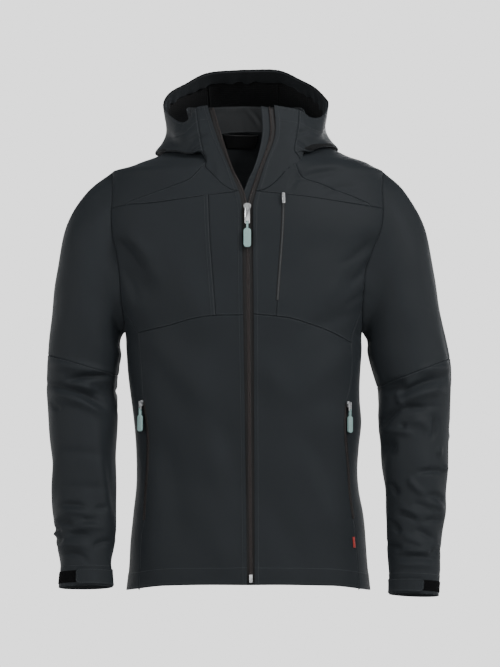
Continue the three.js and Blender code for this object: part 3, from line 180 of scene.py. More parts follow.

# %% [markdown]
# Creases are hills and valleys on those sections. Each row has a middle, a slant in degrees, a
# half length, a bow, a half width and a height, which is negative for a valley. Softshell shows
# broad soft folds on the body and narrow sharp ones near the armholes and the neck. Placing them
# one by one in a table keeps them as uneven as the cloth in the photograph.

# %% Creases of the front and the back
CREASE = ["x", "z", "slant", "length", "bow", "width", "height"]
FRONT_CREASES = table(CREASE, [
    [-196, -190, -62, 75, 0, 17, -4.6],
    [-172, -168, -58, 80, 0, 16, 3.5],
    [-200, -168, -48, 46, 5, 6, -2.7],
    [-188, -150, -44, 46, 5, 8, 2.2],
    [-202, -215, -66, 40, 4, 6, -2.7],
    [176, -176, 60, 70, 0, 17, -4.3],
    [158, -196, 52, 80, 0, 16, 3.5],
    [184, -190, 52, 36, -5, 6, -3.2],
    [176, -160, 36, 46, -5, 7, -2.4],
    [182, -238, 30, 34, 3, 7, -2.4],
    [150, -268, 20, 90, 0, 14, -2.7],
    [-95, -240, -70, 95, 0, 26, 2.7],
    [92, -170, 40, 85, 0, 24, -2.4],
    [-70, -440, -78, 140, 0, 28, 5.6],
    [-30, -510, -75, 120, 0, 22, -4.3],
    [62, -420, -64, 120, 0, 24, 6.1],
    [90, -470, -60, 130, 0, 22, -5.6],
    [122, -560, -68, 110, 0, 24, 4.8],
    [-128, -560, -82, 120, 0, 22, -4.3],
    [-60, -620, -70, 90, 0, 26, 4.3],
    [60, -630, -62, 90, 0, 24, -3.8],
    [-120, -350, -50, 90, 0, 24, 3.8],
    [118, -366, 44, 90, 0, 24, 3.8],
    [112, -34, 14, 52, 4, 5, -2.4],
    [120, -22, 12, 52, 4, 7, 2.2],
    [150, -58, 8, 46, 4, 6, -2.2],
    [74, -42, 62, 26, 0, 4, -3],
    [-48, -36, -32, 26, 3, 5, -3],
    [-44, -46, -30, 26, 3, 6, 2.2],
    [-96, -20, -12, 34, 3, 5, -1.9],
    [-150, -50, -22, 50, 3, 9, -1.6],
])
BACK_CREASES = table(CREASE, [
    [-186, -190, 60, 90, 0, 20, -5.1],
    [172, -184, -60, 90, 0, 20, -5.1],
    [-140, -250, 48, 110, 0, 22, 4.5],
    [132, -262, -46, 110, 0, 22, 4.5],
    [-60, -470, 8, 150, 6, 18, -4.2],
    [54, -452, -12, 150, 6, 18, 4.5],
    [-30, -420, 10, 160, 6, 18, 4.2],
    [40, -520, -6, 150, 6, 18, -3.9],
    [0, -600, 80, 120, 0, 30, 3.2],
    [-110, -620, 78, 110, 0, 26, 3],
    [108, -610, -76, 110, 0, 26, 3.2],
    [-150, -150, 52, 60, 4, 8, -3],
    [146, -156, -50, 60, 4, 8, -3],
    [20, -486, 2, 90, 5, 9, -3],
    [-70, -505, -8, 80, 4, 9, 2.4],
])


def crease_height(rows, x, z):
    total = np.zeros_like(x)
    for row in rows:
        angle = math.radians(row["slant"])
        dx, dz = x - row["x"], z - row["z"]
        along = (dx * math.cos(angle) + dz * math.sin(angle)) / row["length"]
        bow = row["bow"] * (1 - np.minimum(along ** 2, 4))
        across = (dz * math.cos(angle) - dx * math.sin(angle) - bow) / row["width"]
        total += row["height"] * np.exp(-across ** 2 - 4 * along ** 4)
    return total


# The same seed gives the same waves each time
WAVES = [
    (rng.uniform(0, math.pi), rng.uniform(55, 150), rng.uniform(0, 2 * math.pi)) for _ in range(9)
]


def unevenness(x, z, size=0.25):
    """The faint unevenness that no cloth is without, as a sum of seeded waves."""
    total = np.zeros_like(x)
    for angle, span, phase in WAVES:
        total += np.sin((x * math.cos(angle) + z * math.sin(angle)) * 2 * math.pi / span + phase)
    return total * size


def body_surface(turn, z, lift=0.0):
    turn, z = np.broadcast_arrays(np.asarray(turn, float), np.asarray(z, float))
    base, normal = body_base(turn, z), body_normal(turn, z)
    even = np.abs((turn + 180) % 360 - 180)
    fade = np.minimum(1, np.abs(even - 90) / 25)
    x = base[..., 0]
    front, back = crease_height(FRONT_CREASES, x, z), crease_height(BACK_CREASES, x, z)
    height = np.where(even < 90, front, back) * fade + unevenness(x, z) + lift
    return base + normal * height[..., None], normal


print(len(FRONT_CREASES), "creases in front,", len(BACK_CREASES), "behind")

# %% [markdown]
# ## Materials
# Dark cloth is hard to light: its colour is so low that most of what the camera sees is sheen
# and the soft highlight on each fold. So the cloth mixes a fine speckle of two close greys, a
# weave in the bump that keeps the highlight broad, and a little fuzz sheen at grazing angles.
# All of it is computed by noise and wave textures, so it holds at any distance.

# %% Procedural materials
def new_material(name):
    material = bpy.data.materials.new(name)
    material.use_nodes = True
    nodes = material.node_tree.nodes
    return material, nodes, material.node_tree.links, nodes["Principled BSDF"]


def set_sockets(node, values):
    for socket, value in values.items():
        node.inputs[socket].default_value = value


def coordinates(nodes, links, scale, use_uv=False):
    source = nodes.new("ShaderNodeTexCoord")
    mapping = nodes.new("ShaderNodeMapping")
    mapping.inputs["Scale"].default_value = scale
    links.new(source.outputs["UV" if use_uv else "Object"], mapping.inputs["Vector"])
    return mapping.outputs["Vector"]


def noise(nodes, links, vector, scale, detail=2.0, roughness=0.5):
    texture = nodes.new("ShaderNodeTexNoise")
    set_sockets(texture, {"Scale": scale, "Detail": detail, "Roughness": roughness})
    links.new(vector, texture.inputs["Vector"])
    return texture.outputs["Fac"]


def waves(nodes, links, vector, scale, direction, distortion=0.0):
    texture = nodes.new("ShaderNodeTexWave")
    texture.bands_direction = direction
    set_sockets(texture, {"Scale": scale, "Distortion": distortion, "Detail": 1.0})
    links.new(vector, texture.inputs["Vector"])
    return texture.outputs["Fac"]


def combine(nodes, links, operation, a, b):
    node = nodes.new("ShaderNodeMath")
    node.operation = operation
    for socket, value in zip(node.inputs, (a, b)):
        if isinstance(value, (int, float)):
            socket.default_value = value
        else:
            links.new(value, socket)
    return node.outputs[0]


def two_tones(nodes, links, factor, dark, light):
    blend = nodes.new("ShaderNodeMix")
    blend.data_type = "RGBA"
    low, high = (socket for socket in blend.inputs if socket.type == "RGBA")
    low.default_value, high.default_value = (*dark, 1), (*light, 1)
    links.new(factor, blend.inputs[0])
    return next(socket for socket in blend.outputs if socket.type == "RGBA")


def bump(nodes, links, shader, height, strength, distance):
    node = nodes.new("ShaderNodeBump")
    set_sockets(node, {"Strength": strength, "Distance": distance})
    links.new(height, node.inputs["Height"])
    links.new(node.outputs["Normal"], shader.inputs["Normal"])


SPECKLE, PATCHES, NAP = 900, 9, 350  # scales of the cloth's noises, per metre


def cloth_material(name, dark, light, weave_mm, relief, roughness, sheen, specular=0.35):
    """Woven or knitted cloth: speckled, finely ribbed both ways and slightly fuzzy."""
    material, nodes, links, shader = new_material(name)
    place = coordinates(nodes, links, (1, 1, 1), use_uv=True)
    space = coordinates(nodes, links, (1, 1, 1))
    speckle = noise(nodes, links, space, SPECKLE, 2, 0.6)
    patches = noise(nodes, links, space, PATCHES, 3, 0.55)
    tone = combine(nodes, links, "ADD", combine(nodes, links, "MULTIPLY", speckle, 0.7),
                   combine(nodes, links, "MULTIPLY", patches, 0.3))
    links.new(two_tones(nodes, links, tone, dark, light), shader.inputs["Base Color"])
    frequency = 2 * math.pi / (20 * weave_mm / 1000)
    ribs = combine(nodes, links, "MAXIMUM", waves(nodes, links, place, frequency, "X", 0.6),
                   waves(nodes, links, place, frequency, "Y", 0.6))
    grain = combine(nodes, links, "ADD", ribs, noise(nodes, links, space, NAP, 2, 0.6))
    bump(nodes, links, shader, grain, 0.5, relief / 1000)
    set_sockets(shader, {
        "Roughness": roughness, "Specular IOR Level": specular,
        "Sheen Weight": sheen, "Sheen Roughness": 0.45, "Sheen Tint": (0.75, 0.85, 0.95, 1),
    })
    return material


def quilted_material(name, dark, light):
    """The hood's mesh lining: small round cells on a fine net."""
    material, nodes, links, shader = new_material(name)
    space = coordinates(nodes, links, (1, 1, 1))
    cells = nodes.new("ShaderNodeTexVoronoi")
    set_sockets(cells, {"Scale": 300.0, "Randomness": 0.2})
    links.new(space, cells.inputs["Vector"])
    links.new(two_tones(nodes, links, noise(nodes, links, space, 300), dark, light),
              shader.inputs["Base Color"])
    height = combine(nodes, links, "MULTIPLY", cells.outputs["Distance"], -1.0)
    bump(nodes, links, shader, height, 0.7, 0.0013)
    set_sockets(shader, {"Roughness": 0.9, "Sheen Weight": 0.05, "Specular IOR Level": 0.08})
    return material


def metal_material(name, dark, light):
    material, nodes, links, shader = new_material(name)
    space = coordinates(nodes, links, (1, 1, 0.15))
    brushed = noise(nodes, links, space, 2500, 2)
    links.new(two_tones(nodes, links, brushed, dark, light), shader.inputs["Base Color"])
    bump(nodes, links, shader, brushed, 0.15, 0.0001)
    set_sockets(shader, {"Metallic": 1.0, "Roughness": 0.28})
    return material


def moulded_material(name, dark, light, roughness):
    material, nodes, links, shader = new_material(name)
    space = coordinates(nodes, links, (1, 1, 1))
    links.new(two_tones(nodes, links, noise(nodes, links, space, 500, 3), dark, light),
              shader.inputs["Base Color"])
    bump(nodes, links, shader, noise(nodes, links, space, 1800), 0.25, 0.0001)
    set_sockets(shader, {"Roughness": roughness, "Specular IOR Level": 0.5})
    return material


def looped_material(name, dark, light):
    """Hook-and-loop fastener: a dense field of tiny bristles."""
    material, nodes, links, shader = new_material(name)
    space = coordinates(nodes, links, (1, 1, 1))
    cells = nodes.new("ShaderNodeTexVoronoi")
    set_sockets(cells, {"Scale": 850.0})
    links.new(space, cells.inputs["Vector"])
    links.new(two_tones(nodes, links, cells.outputs["Distance"], light, dark),
              shader.inputs["Base Color"])
    bump(nodes, links, shader, cells.outputs["Distance"], 1.0, 0.0008)
    set_sockets(shader, {"Roughness": 0.95, "Specular IOR Level": 0.08})
    return material


SHELL = cloth_material("softshell face", (0.0090, 0.0109, 0.0127), (0.0164, 0.0190, 0.0215),
                       0.55, 0.10, 0.60, 0.03, 0.10)
BACKING = cloth_material("softshell back", (0.0115, 0.0128, 0.0140), (0.022, 0.0242, 0.0262),
                         1.1, 0.25, 0.85, 0.10, 0.08)
STAND_CLOTH = cloth_material("collar facing", (0.0084, 0.0091, 0.0098), (0.0144, 0.0156, 0.0166),
                             0.8, 0.15, 0.75, 0.08, 0.12)
TAPE = cloth_material("zip tape", (0.0032, 0.0029, 0.0029), (0.0072, 0.0063, 0.0063),
                      1.4, 0.20, 0.6, 0.02, 0.25)
COIL = moulded_material("zip coil", (0.0100, 0.0062, 0.0058), (0.018, 0.0105, 0.0095), 0.4)
TRIM = cloth_material("black ribbon", (0.0025, 0.0025, 0.0028), (0.006, 0.006, 0.0065),
                      0.5, 0.08, 0.5, 0.02, 0.25)
RED = cloth_material("red ribbon", (0.20, 0.014, 0.011), (0.29, 0.022, 0.017), 0.5, 0.1, 0.6, 0.1)
# The chest zip's coil is coloured light grey: a painted highlight for the light along the tape's edge.
PAINTED_HIGHLIGHT_COIL = moulded_material("chest coil with painted highlight", (0.030, 0.034, 0.036), (0.055, 0.061, 0.065), 0.4)
THREAD = cloth_material("thread", (0.018, 0.021, 0.024), (0.038, 0.042, 0.046), 0.3, 0.1, 0.5, 0.05)
LOOPS = looped_material("hook fastener", (0.0010, 0.0010, 0.0012), (0.004, 0.004, 0.0045))
QUILT = quilted_material("mesh lining", (0.0028, 0.0031, 0.0034), (0.0062, 0.0068, 0.0075))
METAL = metal_material("silver metal", (0.42, 0.43, 0.44), (0.64, 0.65, 0.66))
GRIP = moulded_material("grey green rubber", (0.145, 0.235, 0.228), (0.215, 0.325, 0.312), 0.5)
print("materials ready")

# %% [markdown]
# ## Seam lines
# A seam is where two pattern pieces meet, and it is the first thing the eye reads on plain dark
# cloth. On the body each one is a short table of x and z, taken along its line in the photograph.

# %% Seam lines on the body
def line(rows):
    return table(["x", "z"], rows)


SEAMS = {
    RIGHT: {
        "yoke_low": line([[-201, -79.5], [-166, -78], [-116, -72], [-70, -65.5], [-18.5, -60]]),
        "yoke_high": line([[-201, -75.5], [-167, -63.5], [-134, -52], [-100, -38.5], [-74, -9]]),
        "split": line([[-69, -65.5], [-65.7, -141], [-60.8, -207], [-56, -267.5]]),
        "chest_low": line([
            [-186, -293.3], [-164, -288.5], [-131, -281], [-98, -271.5], [-65, -266], [-11.8, -264.6],
        ]),
        "side": table(["z", "x"], [
            [-745, -185], [-692, -184], [-632, -181.5], [-608, -177], [-565, -173.8], [-520, -171.3],
            [-473, -170.5], [-440, -173], [-398, -178.5], [-361, -181.3], [-322, -184], [-293.3, -186],
        ]),
        "edge": table(["z", "x"], [
            [-745, -4.5], [-706, -4.8], [-535, -7], [-404, -8.8], [-272, -11], [-174, -12.4],
            [-100, -13], [-82, -13.6], [-60, -18.5],
        ]),
    },
    LEFT: {
        "yoke_low": line([[196, -82.5], [166, -78], [116, -70.5], [55, -63.5], [10.5, -60]]),
        "yoke_high": line([[196, -78], [160, -63.5], [117, -47], [86, -35], [74, -9]]),
        "split": line([[55, -63.5], [53.7, -120], [49.3, -185], [43, -264.8]]),
        "chest_low": line([
            [169.5, -311], [154, -302.4], [131, -291], [99, -279.4], [65, -269.5], [7.4, -263],
        ]),
        "side": table(["z", "x"], [
            [-745, 182], [-692, 180.5], [-653, 177], [-623, 173.8], [-563, 167], [-513, 163.2],
            [-473, 159.6], [-448, 158.7], [-414, 161.2], [-384, 167.9], [-342, 170.4], [-311, 169.5],
        ]),
        "edge": table(["z", "x"], [
            [-745, 7.6], [-706, 7.5], [-535, 7], [-404, 6.4], [-272, 6], [-174, 5],
            [-100, 4.3], [-82, 5], [-60, 10.5],
        ]),
    },
}
HEM = table(["turn", "z"], [[0, -707], [35, -711], [65, -722], [90, -730], [135, -736], [180, -738]])
NECK = table(["turn", "z"], [
    [4, -60], [11, -42], [17, -22], [24, -7], [33, 7], [48, 21], [66, 31], [83, 36.5],
    [97, 39.5], [113, 43], [132, 47.5], [152, 52], [180, 54],
])
ARMHOLE = table(["z", "reach"], [
    [-292, 0], [-286, 25], [-272, 43], [-240, 58], [-200, 63], [-165, 62], [-128, 60],
    [-98, 55], [-71, 47], [-45, 34], [-30, 19], [-19, 0],
])
hem_height = reading(HEM, "turn", "z")
neck_height = reading(NECK, "turn", "z")
armhole_reach = reading(ARMHOLE, "z", "reach")
ARM_TOP, ARM_YOKE, ARM_CHEST, ARM_BOTTOM = -19, -86, -254, -292
COLLAR_TURN, EDGE_TOP, EDGE_FOOT, SHOULDER_TURN = 24, -60, -707, 90.01
YOKE_PARTS = 0.85
FRONT_FOOT_TURN, BACK_FOOT_TURN, SHOULDER_NECK_TURN = 66, 114, 92
DENSE = np.linspace(0, 1, 81)


def armhole_place(side, z, on_back):
    depth = body_fit["back"](z) if on_back else body_fit["front"](z)
    share = np.maximum(0, armhole_reach(z)) / depth
    turn = np.degrees(np.arccos(share ** (body_fit["power"](z) / 2)))
    return np.stack([side * ((180 - turn) if on_back else turn), z + 0 * turn], -1)


def seam_run(rows):
    x = np.array([row["x"] for row in rows], float)
    z = np.array([row["z"] for row in rows], float)
    return x, z, np.concatenate([[0], np.cumsum(np.hypot(np.diff(x), np.diff(z)))])


def seam_places(rows, start=0.0, end=1.0):
    x, z, along = seam_run(rows)
    fit = readings([{"along": c, "x": a, "z": b} for a, b, c in zip(x, z, along)], "along")
    run = along[-1] * mix(start, end, DENSE)
    return np.stack([turn_at_x(fit["x"](run), fit["z"](run)), fit["z"](run)], -1)


def share_at(rows, x):
    """The share of a seam's length at which it passes a given x."""
    xs, _, along = seam_run(rows)
    order = np.argsort(xs)
    return float(np.interp(x, xs[order], along[order]) / along[-1])


def straight(a, b):
    return np.asarray(a)[None] + (np.asarray(b) - np.asarray(a))[None] * DENSE[:, None]


def neck_front_places(side, shares):
    edge_turn = abs(float(turn_at_x(SEAMS[side]["edge"][-1]["x"], EDGE_TOP)))
    turn = mix(COLLAR_TURN, edge_turn, shares)
    return np.stack([side * turn, mix(neck_height(turn), EDGE_TOP, shares ** 4)], -1)


def places_up(turn_of_z, low, high):
    z = mix(low, high, DENSE)
    return np.stack([turn_of_z(z), z], -1)


print("the left chest seam meets the split at", round(share_at(SEAMS[LEFT]["chest_low"], 43), 2))

# %% [markdown]
# ## From four edges to a piece of cloth
# A pattern piece has four sides. Its inside is filled by blending the two pairs of opposite
# edges, which keeps the lines of the grid running with the seams. Extra lines crowd towards each
# edge, where the cloth is folded under and stitched, and where an even grid would miss the small
# ridge that this leaves. A finish says how deep the seam's ditch is, how far the doubled cloth
# lifts the face and where its rows of stitches lie.

# %% Filling a piece and finishing its edges
FINISH = {
    "plain": {"ditch": 1.0, "lift": 0.0, "rows": []},
    "neck": {"ditch": 0.5, "lift": 0.0, "rows": []},
    "stitched": {"ditch": 1.0, "lift": 0.5, "rows": [2.0]},
    "double": {"ditch": 1.0, "lift": 0.55, "rows": [1.8, 6.8]},
    "edge": {"ditch": 0.2, "lift": 0.6, "rows": [6.5]},
    "hem": {"ditch": 0.1, "lift": 0.5, "rows": [27.5]},
    "cuff": {"ditch": 0.1, "lift": 0.5, "rows": [33.0]},
    "rim": {"ditch": 0.1, "lift": 0.5, "rows": [3.0, 25.0]},
    "free": {"ditch": 0.0, "lift": 0.3, "rows": [2.4]},
    "raw": {"ditch": 0.0, "lift": 0.0, "rows": []},
}
ROW_PULL, ROW_WIDTH = 0.25, 0.7  # how far a row of stitches draws the cloth in
FOLD_PAST, FOLD_SOFT = 0.9, 0.35  # where the doubled cloth ends beyond its last row
DITCH_WIDTH, PUCKER_REACH = 1.1, 9.0
stitch_runs = []


def line_length(places):
    points = body_base(places[:, 0], places[:, 1])
    return np.linalg.norm(np.diff(points, axis=0), axis=1).sum()


def at_shares(places, shares):
    """Reads a dense line of places at shares of its length."""
    points = body_base(places[:, 0], places[:, 1])
    run = np.concatenate([[0], np.cumsum(np.linalg.norm(np.diff(points, axis=0), axis=1))])
    return np.stack([np.interp(shares * run[-1], run, places[:, k]) for k in (0, 1)], -1)


def marks_of(kind):
    form = FINISH[kind]
    marks = [0.8, 1.7, 3.0, 4.6] if kind != "raw" else []
    for row in form["rows"]:
        marks += [row - 0.8, row, row + 0.8, row + 1.7]
    return marks


def spread(length, cell, low="raw", high="raw"):
    """Shares of a side: cells of one size, with more lines where an edge is finished."""
    marks = [d for d in marks_of(low) if d < length * 0.45]
    marks += [length - d for d in marks_of(high) if d < length * 0.45]
    plain = np.linspace(0, length, max(2, int(round(length / cell))) + 1)
    ends = {0, len(plain) - 1}
    kept = [p for i, p in enumerate(plain) if i in ends or all(abs(p - m) > 0.35 * cell for m in marks)]
    values = np.array(sorted(kept + marks))
    return values[np.concatenate([[True], np.diff(values) > 0.3])] / length


def fill(bottom, top, start, end, u, v):
    low, high = at_shares(bottom, u)[None], at_shares(top, u)[None]
    left, right = at_shares(start, v)[:, None], at_shares(end, v)[:, None]
    uu, vv = u[None, :, None], v[:, None, None]
    corners = mix(mix(low[:, :1], low[:, -1:], uu), mix(high[:, :1], high[:, -1:], uu), vv)
    return mix(left, right, uu) + mix(low, high, vv) - corners


def measured(points):
    """How far each corner of a grid lies along its column and along its row."""
    down = np.linalg.norm(np.diff(points, axis=0), axis=-1).cumsum(0)
    over = np.linalg.norm(np.diff(points, axis=1), axis=-1).cumsum(1)
    down = np.concatenate([np.zeros((1, points.shape[1])), down], 0)
    over = np.concatenate([np.zeros((points.shape[0], 1)), over], 1)
    return down, over


def row_of_points(points, normals, distance, offset):
    """The line on the cloth that stays at one distance from its first grid line."""
    places, ways = [], []
    for k in range(points.shape[1]):
        order = np.argsort(distance[:, k])
        d = distance[order, k]
        places.append([np.interp(offset, d, points[order, k, i]) for i in range(3)])
        ways.append([np.interp(offset, d, normals[order, k, i]) for i in range(3)])
    return np.array(places), unit(np.array(ways))


def seam_ripple(run):
    """An uneven ripple along a seam, with a calm spot every nine centimetres."""
    return np.sin(run * 0.61 + 2.1 * np.sin(run * 0.083)) * np.sin(run * 0.034 + 1.0)


def finish_edges(points, normals, edges, pucker=0.3):
    """Works each edge's ditch, lift and stitch rows into the cloth and notes the rows."""
    down, over = measured(points)
    distances = {"bottom": down, "top": down[-1:] - down, "start": over, "end": over[:, -1:] - over}
    height = np.zeros(points.shape[:2])
    for where, kind in edges.items():
        form, d = FINISH[kind], distances[where]
        for k, row in enumerate(form["rows"]):
            if k == len(form["rows"]) - 1:
                past = np.clip((d - row - FOLD_PAST) / FOLD_SOFT, -40, 40)
                height += form["lift"] / (1 + np.exp(past))
            height -= ROW_PULL * np.exp(-((d - row) / ROW_WIDTH) ** 2)
        height -= form["ditch"] * np.exp(-(d / DITCH_WIDTH) ** 2)
        if kind != "raw":
            run = over if where in ("bottom", "top") else down
            height += pucker * seam_ripple(run) * np.exp(-(d / PUCKER_REACH) ** 2)
    placed = points + normals * height[..., None]
    for where, kind in edges.items():
        upright = where in ("start", "end")
        p = placed.transpose(1, 0, 2) if upright else placed
        n = normals.transpose(1, 0, 2) if upright else normals
        d = distances[where].T if upright else distances[where]
        for row in FINISH[kind]["rows"]:
            if row < d.max() * 0.6:
                stitch_runs.append(row_of_points(p, n, d, row))
    return placed


# %% [markdown]
# A piece of cloth has two faces and a rim, so light can't leak through it and its edge reads as
# a real cut or fold. The outer face gets the face cloth and the inner one the brushed backing.

# %% Making a closed piece of cloth
def make_mesh(name, corners, quads, materials, marks=None, uv=None):
    mesh = bpy.data.meshes.new(name)
    mesh.from_pydata(corners.tolist(), [], quads.tolist())
    for material in materials:
        mesh.materials.append(material)
    if marks is not None:
        mesh.polygons.foreach_set("material_index", marks.astype(np.int32))
    mesh.polygons.foreach_set("use_smooth", np.full(len(quads), True))
    if uv is not None:
        loops = np.zeros(len(mesh.loops), dtype=np.int32)
        mesh.loops.foreach_get("vertex_index", loops)
        mesh.uv_layers.new(name="cloth").data.foreach_set("uv", uv[loops].ravel())
    mesh.update()
    thing = bpy.data.objects.new(name, mesh)
    bpy.context.scene.collection.objects.link(thing)
    return thing


def signed_volume(corners, quads):
    a, b, c, d = (corners[quads[:, k]] for k in range(4))
    return float((a * (np.cross(b, c) + np.cross(c, d))).sum() / 6)


def cloth(name, points, normals, face=SHELL, back=BACKING, wall=WALL, wraps=False,
          nodes=(), body=JACKET):
    rows, columns = points.shape[:2]
    layer = rows * columns
    corners = np.concatenate([points, points - normals * wall]).reshape(-1, 3) / 1000
    spans = columns if wraps else columns - 1
    r, c = np.meshgrid(np.arange(rows - 1), np.arange(spans), indexing="ij")
    here, right = r * columns + c, r * columns + (c + 1) % columns
    outer = np.stack([here, right, right + columns, here + columns], -1).reshape(-1, 4)
    first = np.arange(spans)
    after = (first + 1) % columns
    last = (rows - 1) * columns
    rims = [
        np.stack([after, first, first + layer, after + layer], -1),
        np.stack([first + last, after + last, after + last + layer, first + last + layer], -1),
    ]
    if not wraps:
        low = np.arange(rows - 1) * columns
        high = low + columns - 1
        rims.append(np.stack([low, low + columns, low + columns + layer, low + layer], -1))
        rims.append(np.stack([high + columns, high, high + layer, high + columns + layer], -1))
    quads = np.concatenate([outer, outer[:, ::-1] + layer, *rims])
    if signed_volume(corners, quads) < 0:
        quads = quads[:, ::-1]
    marks = np.zeros(len(quads))
    marks[len(outer):2 * len(outer)] = 1
    down, over = measured(points)
    uv = np.tile(np.stack([over, down], -1).reshape(-1, 2) / 1000, (2, 1))
    thing = make_mesh(name, corners, quads, [face, back], marks, uv)
    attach(thing, body)
    if nodes:
        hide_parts(*nodes)
    return thing


def body_piece(node, bottom, top, start, end, edges, cell=4.6):
    """A piece of the body between four lines, with each edge's finish."""
    width = max(line_length(bottom), line_length(top))
    height = max(line_length(start), line_length(end))
    u = spread(width, cell, edges["start"], edges["end"])
    v = spread(height, cell, edges["bottom"], edges["top"])
    places = fill(bottom, top, start, end, u, v)
    points, normals = body_surface(places[..., 0], places[..., 1])
    points = finish_edges(points, normals, edges)
    print(node, places.shape[:2], round(width), "x", round(height), "mm")
    return cloth(node + "_cloth", points, normals, nodes=[node])


# %% [markdown]
# ## The body's pieces
# Each front is cut in five: a lower front with a slanted pocket in its side seam, an inner and
# an outer chest piece, a thin wedge of yoke and the shoulder. A side piece runs under each arm
# and one large back closes the ring. Seams are pressed to one side and stitched down there, so
# only one of two neighbours carries the row of stitches.

# %% Fronts, yokes, shoulders and sides
back_edges = {}
for side in (RIGHT, LEFT):
    seams, letter = SEAMS[side], LETTER[side]
    edge_x, side_x = reading(seams["edge"], "z", "x"), reading(seams["side"], "z", "x")
    corner, split_end, split_top = seams["chest_low"][0], seams["split"][-1], seams["split"][0]
    side_top = np.array([float(turn_at_x(corner["x"], corner["z"])), corner["z"]])
    chest_share = share_at(seams["chest_low"], split_end["x"])
    yoke_share = share_at(seams["yoke_low"], split_top["x"])
    chest_outer = seam_places(seams["chest_low"], 0, chest_share)
    chest_inner = seam_places(seams["chest_low"], chest_share, 1)
    yoke_outer = seam_places(seams["yoke_low"], 0, yoke_share)
    yoke_inner = seam_places(seams["yoke_low"], yoke_share, 1)
    yoke_high = seam_places(seams["yoke_high"])
    split_x = reading(seams["split"], "z", "x")
    split = places_up(lambda z: turn_at_x(split_x(z), z), chest_outer[-1, 1], yoke_outer[-1, 1])
    split[0], split[-1] = chest_outer[-1], yoke_outer[-1]

    def arm(low, high, on_back=False):
        return armhole_place(side, mix(low, high, DENSE), on_back)

    def at_edge(z):
        return turn_at_x(edge_x(z), z)

    edge_low = places_up(at_edge, EDGE_FOOT, chest_inner[-1, 1])
    side_low = places_up(lambda z: turn_at_x(side_x(z), z), float(hem_height(FRONT_FOOT_TURN)), corner["z"])
    hem_front = straight(side_low[0], edge_low[0])
    hem_front[1:-1, 1] = hem_height(np.abs(hem_front[1:-1, 0]))
    chest_all = np.concatenate([chest_outer, chest_inner[1:]])
    body_piece(
        "front_lower_" + letter, hem_front, chest_all, side_low, edge_low,
        {"bottom": "hem", "top": "plain", "start": "stitched", "end": "edge"})

    edge_chest = places_up(at_edge, chest_inner[-1, 1], EDGE_TOP)
    body_piece(
        "chest_inner_" + letter, chest_inner, yoke_inner, split, edge_chest,
        {"bottom": "stitched", "top": "plain", "start": "plain", "end": "edge"})

    # One seam runs from the armhole nearly to the yoke's tip, where it parts in two
    to_yoke = straight(arm(ARM_YOKE, ARM_YOKE)[0], yoke_outer[0])
    parting = int(YOKE_PARTS * len(DENSE))
    to_arm = straight(side_top, arm(ARM_CHEST, ARM_CHEST)[0])
    arm_side = np.concatenate([to_arm, arm(ARM_CHEST, ARM_YOKE)[1:]])
    chest_top = np.concatenate([to_yoke, yoke_outer[1:]])
    body_piece(
        "chest_outer_" + letter, chest_outer, chest_top, arm_side, split,
        {"bottom": "stitched", "top": "plain", "start": "plain",
         "end": "double" if side == RIGHT else "stitched"})

    neck_front = neck_front_places(side, 1 - DENSE)
    yoke_high[-1] = neck_front[-1]
    yoke_low = np.concatenate([to_yoke[parting:], yoke_outer[1:], yoke_inner[1:]])
    tip_high = straight(to_yoke[parting], yoke_high[0])
    yoke_high = np.concatenate([tip_high, yoke_high[1:]])
    body_piece(
        "yoke_" + letter, yoke_low, yoke_high, straight(yoke_low[0], yoke_high[0]), neck_front,
        {"bottom": "stitched", "top": "stitched", "start": "raw", "end": "neck"})

    shoulder_z = mix(ARM_TOP, float(neck_height(SHOULDER_NECK_TURN)), DENSE ** 0.9)
    shoulder_back = np.stack([np.full(len(DENSE), side * SHOULDER_TURN), shoulder_z], -1)
    neck_turn = mix(COLLAR_TURN, SHOULDER_TURN, DENSE)
    neck_side = np.stack([side * neck_turn, neck_height(neck_turn)], -1)
    shoulder_back[-1] = neck_side[-1]
    arm_shoulder = arm(ARM_YOKE, ARM_TOP)
    arm_shoulder[-1] = shoulder_back[0]
    shoulder_front = np.concatenate([to_yoke[:parting], yoke_high])
    body_piece(
        "shoulder_" + letter, shoulder_front, shoulder_back, arm_shoulder, neck_side,
        {"bottom": "plain", "top": "stitched", "start": "plain", "end": "neck"})

    under = np.concatenate([arm(ARM_CHEST, ARM_BOTTOM), arm(ARM_BOTTOM, ARM_CHEST, True)[1:]])
    back_low = places_up(lambda z: turn_at_x(side_x(z), z, True),
                         float(hem_height(BACK_FOOT_TURN)), corner["z"])
    arm_back_low = armhole_place(side, np.array([ARM_CHEST]), True)[0]
    side_front = np.concatenate([side_low, to_arm[1:]])
    side_back = np.concatenate([back_low, straight(back_low[-1], arm_back_low)[1:]])
    hem_side = straight(side_low[0], back_low[0])
    hem_side[1:-1, 1] = hem_height(np.abs(hem_side[1:-1, 0]))
    body_piece(
        "side_panel_" + letter, hem_side, under, side_front, side_back,
        {"bottom": "hem", "top": "plain", "start": "plain", "end": "plain"})

    arm_rise = arm(ARM_CHEST, ARM_TOP, True)
    arm_rise[-1] = shoulder_back[0]
    back_edges[side] = np.concatenate([side_back, arm_rise[1:], shoulder_back[1:]])

# %% [markdown]
# The back is one piece. It takes its side edges from the side pieces and shoulders, so both share
# one line. Turns are counted from 0 to 360 there, because 180 would meet -180 in its middle.

# %% The back
def wrapped(places):
    return np.stack([np.where(places[:, 0] < 0, places[:, 0] + 360, places[:, 0]), places[:, 1]], -1)


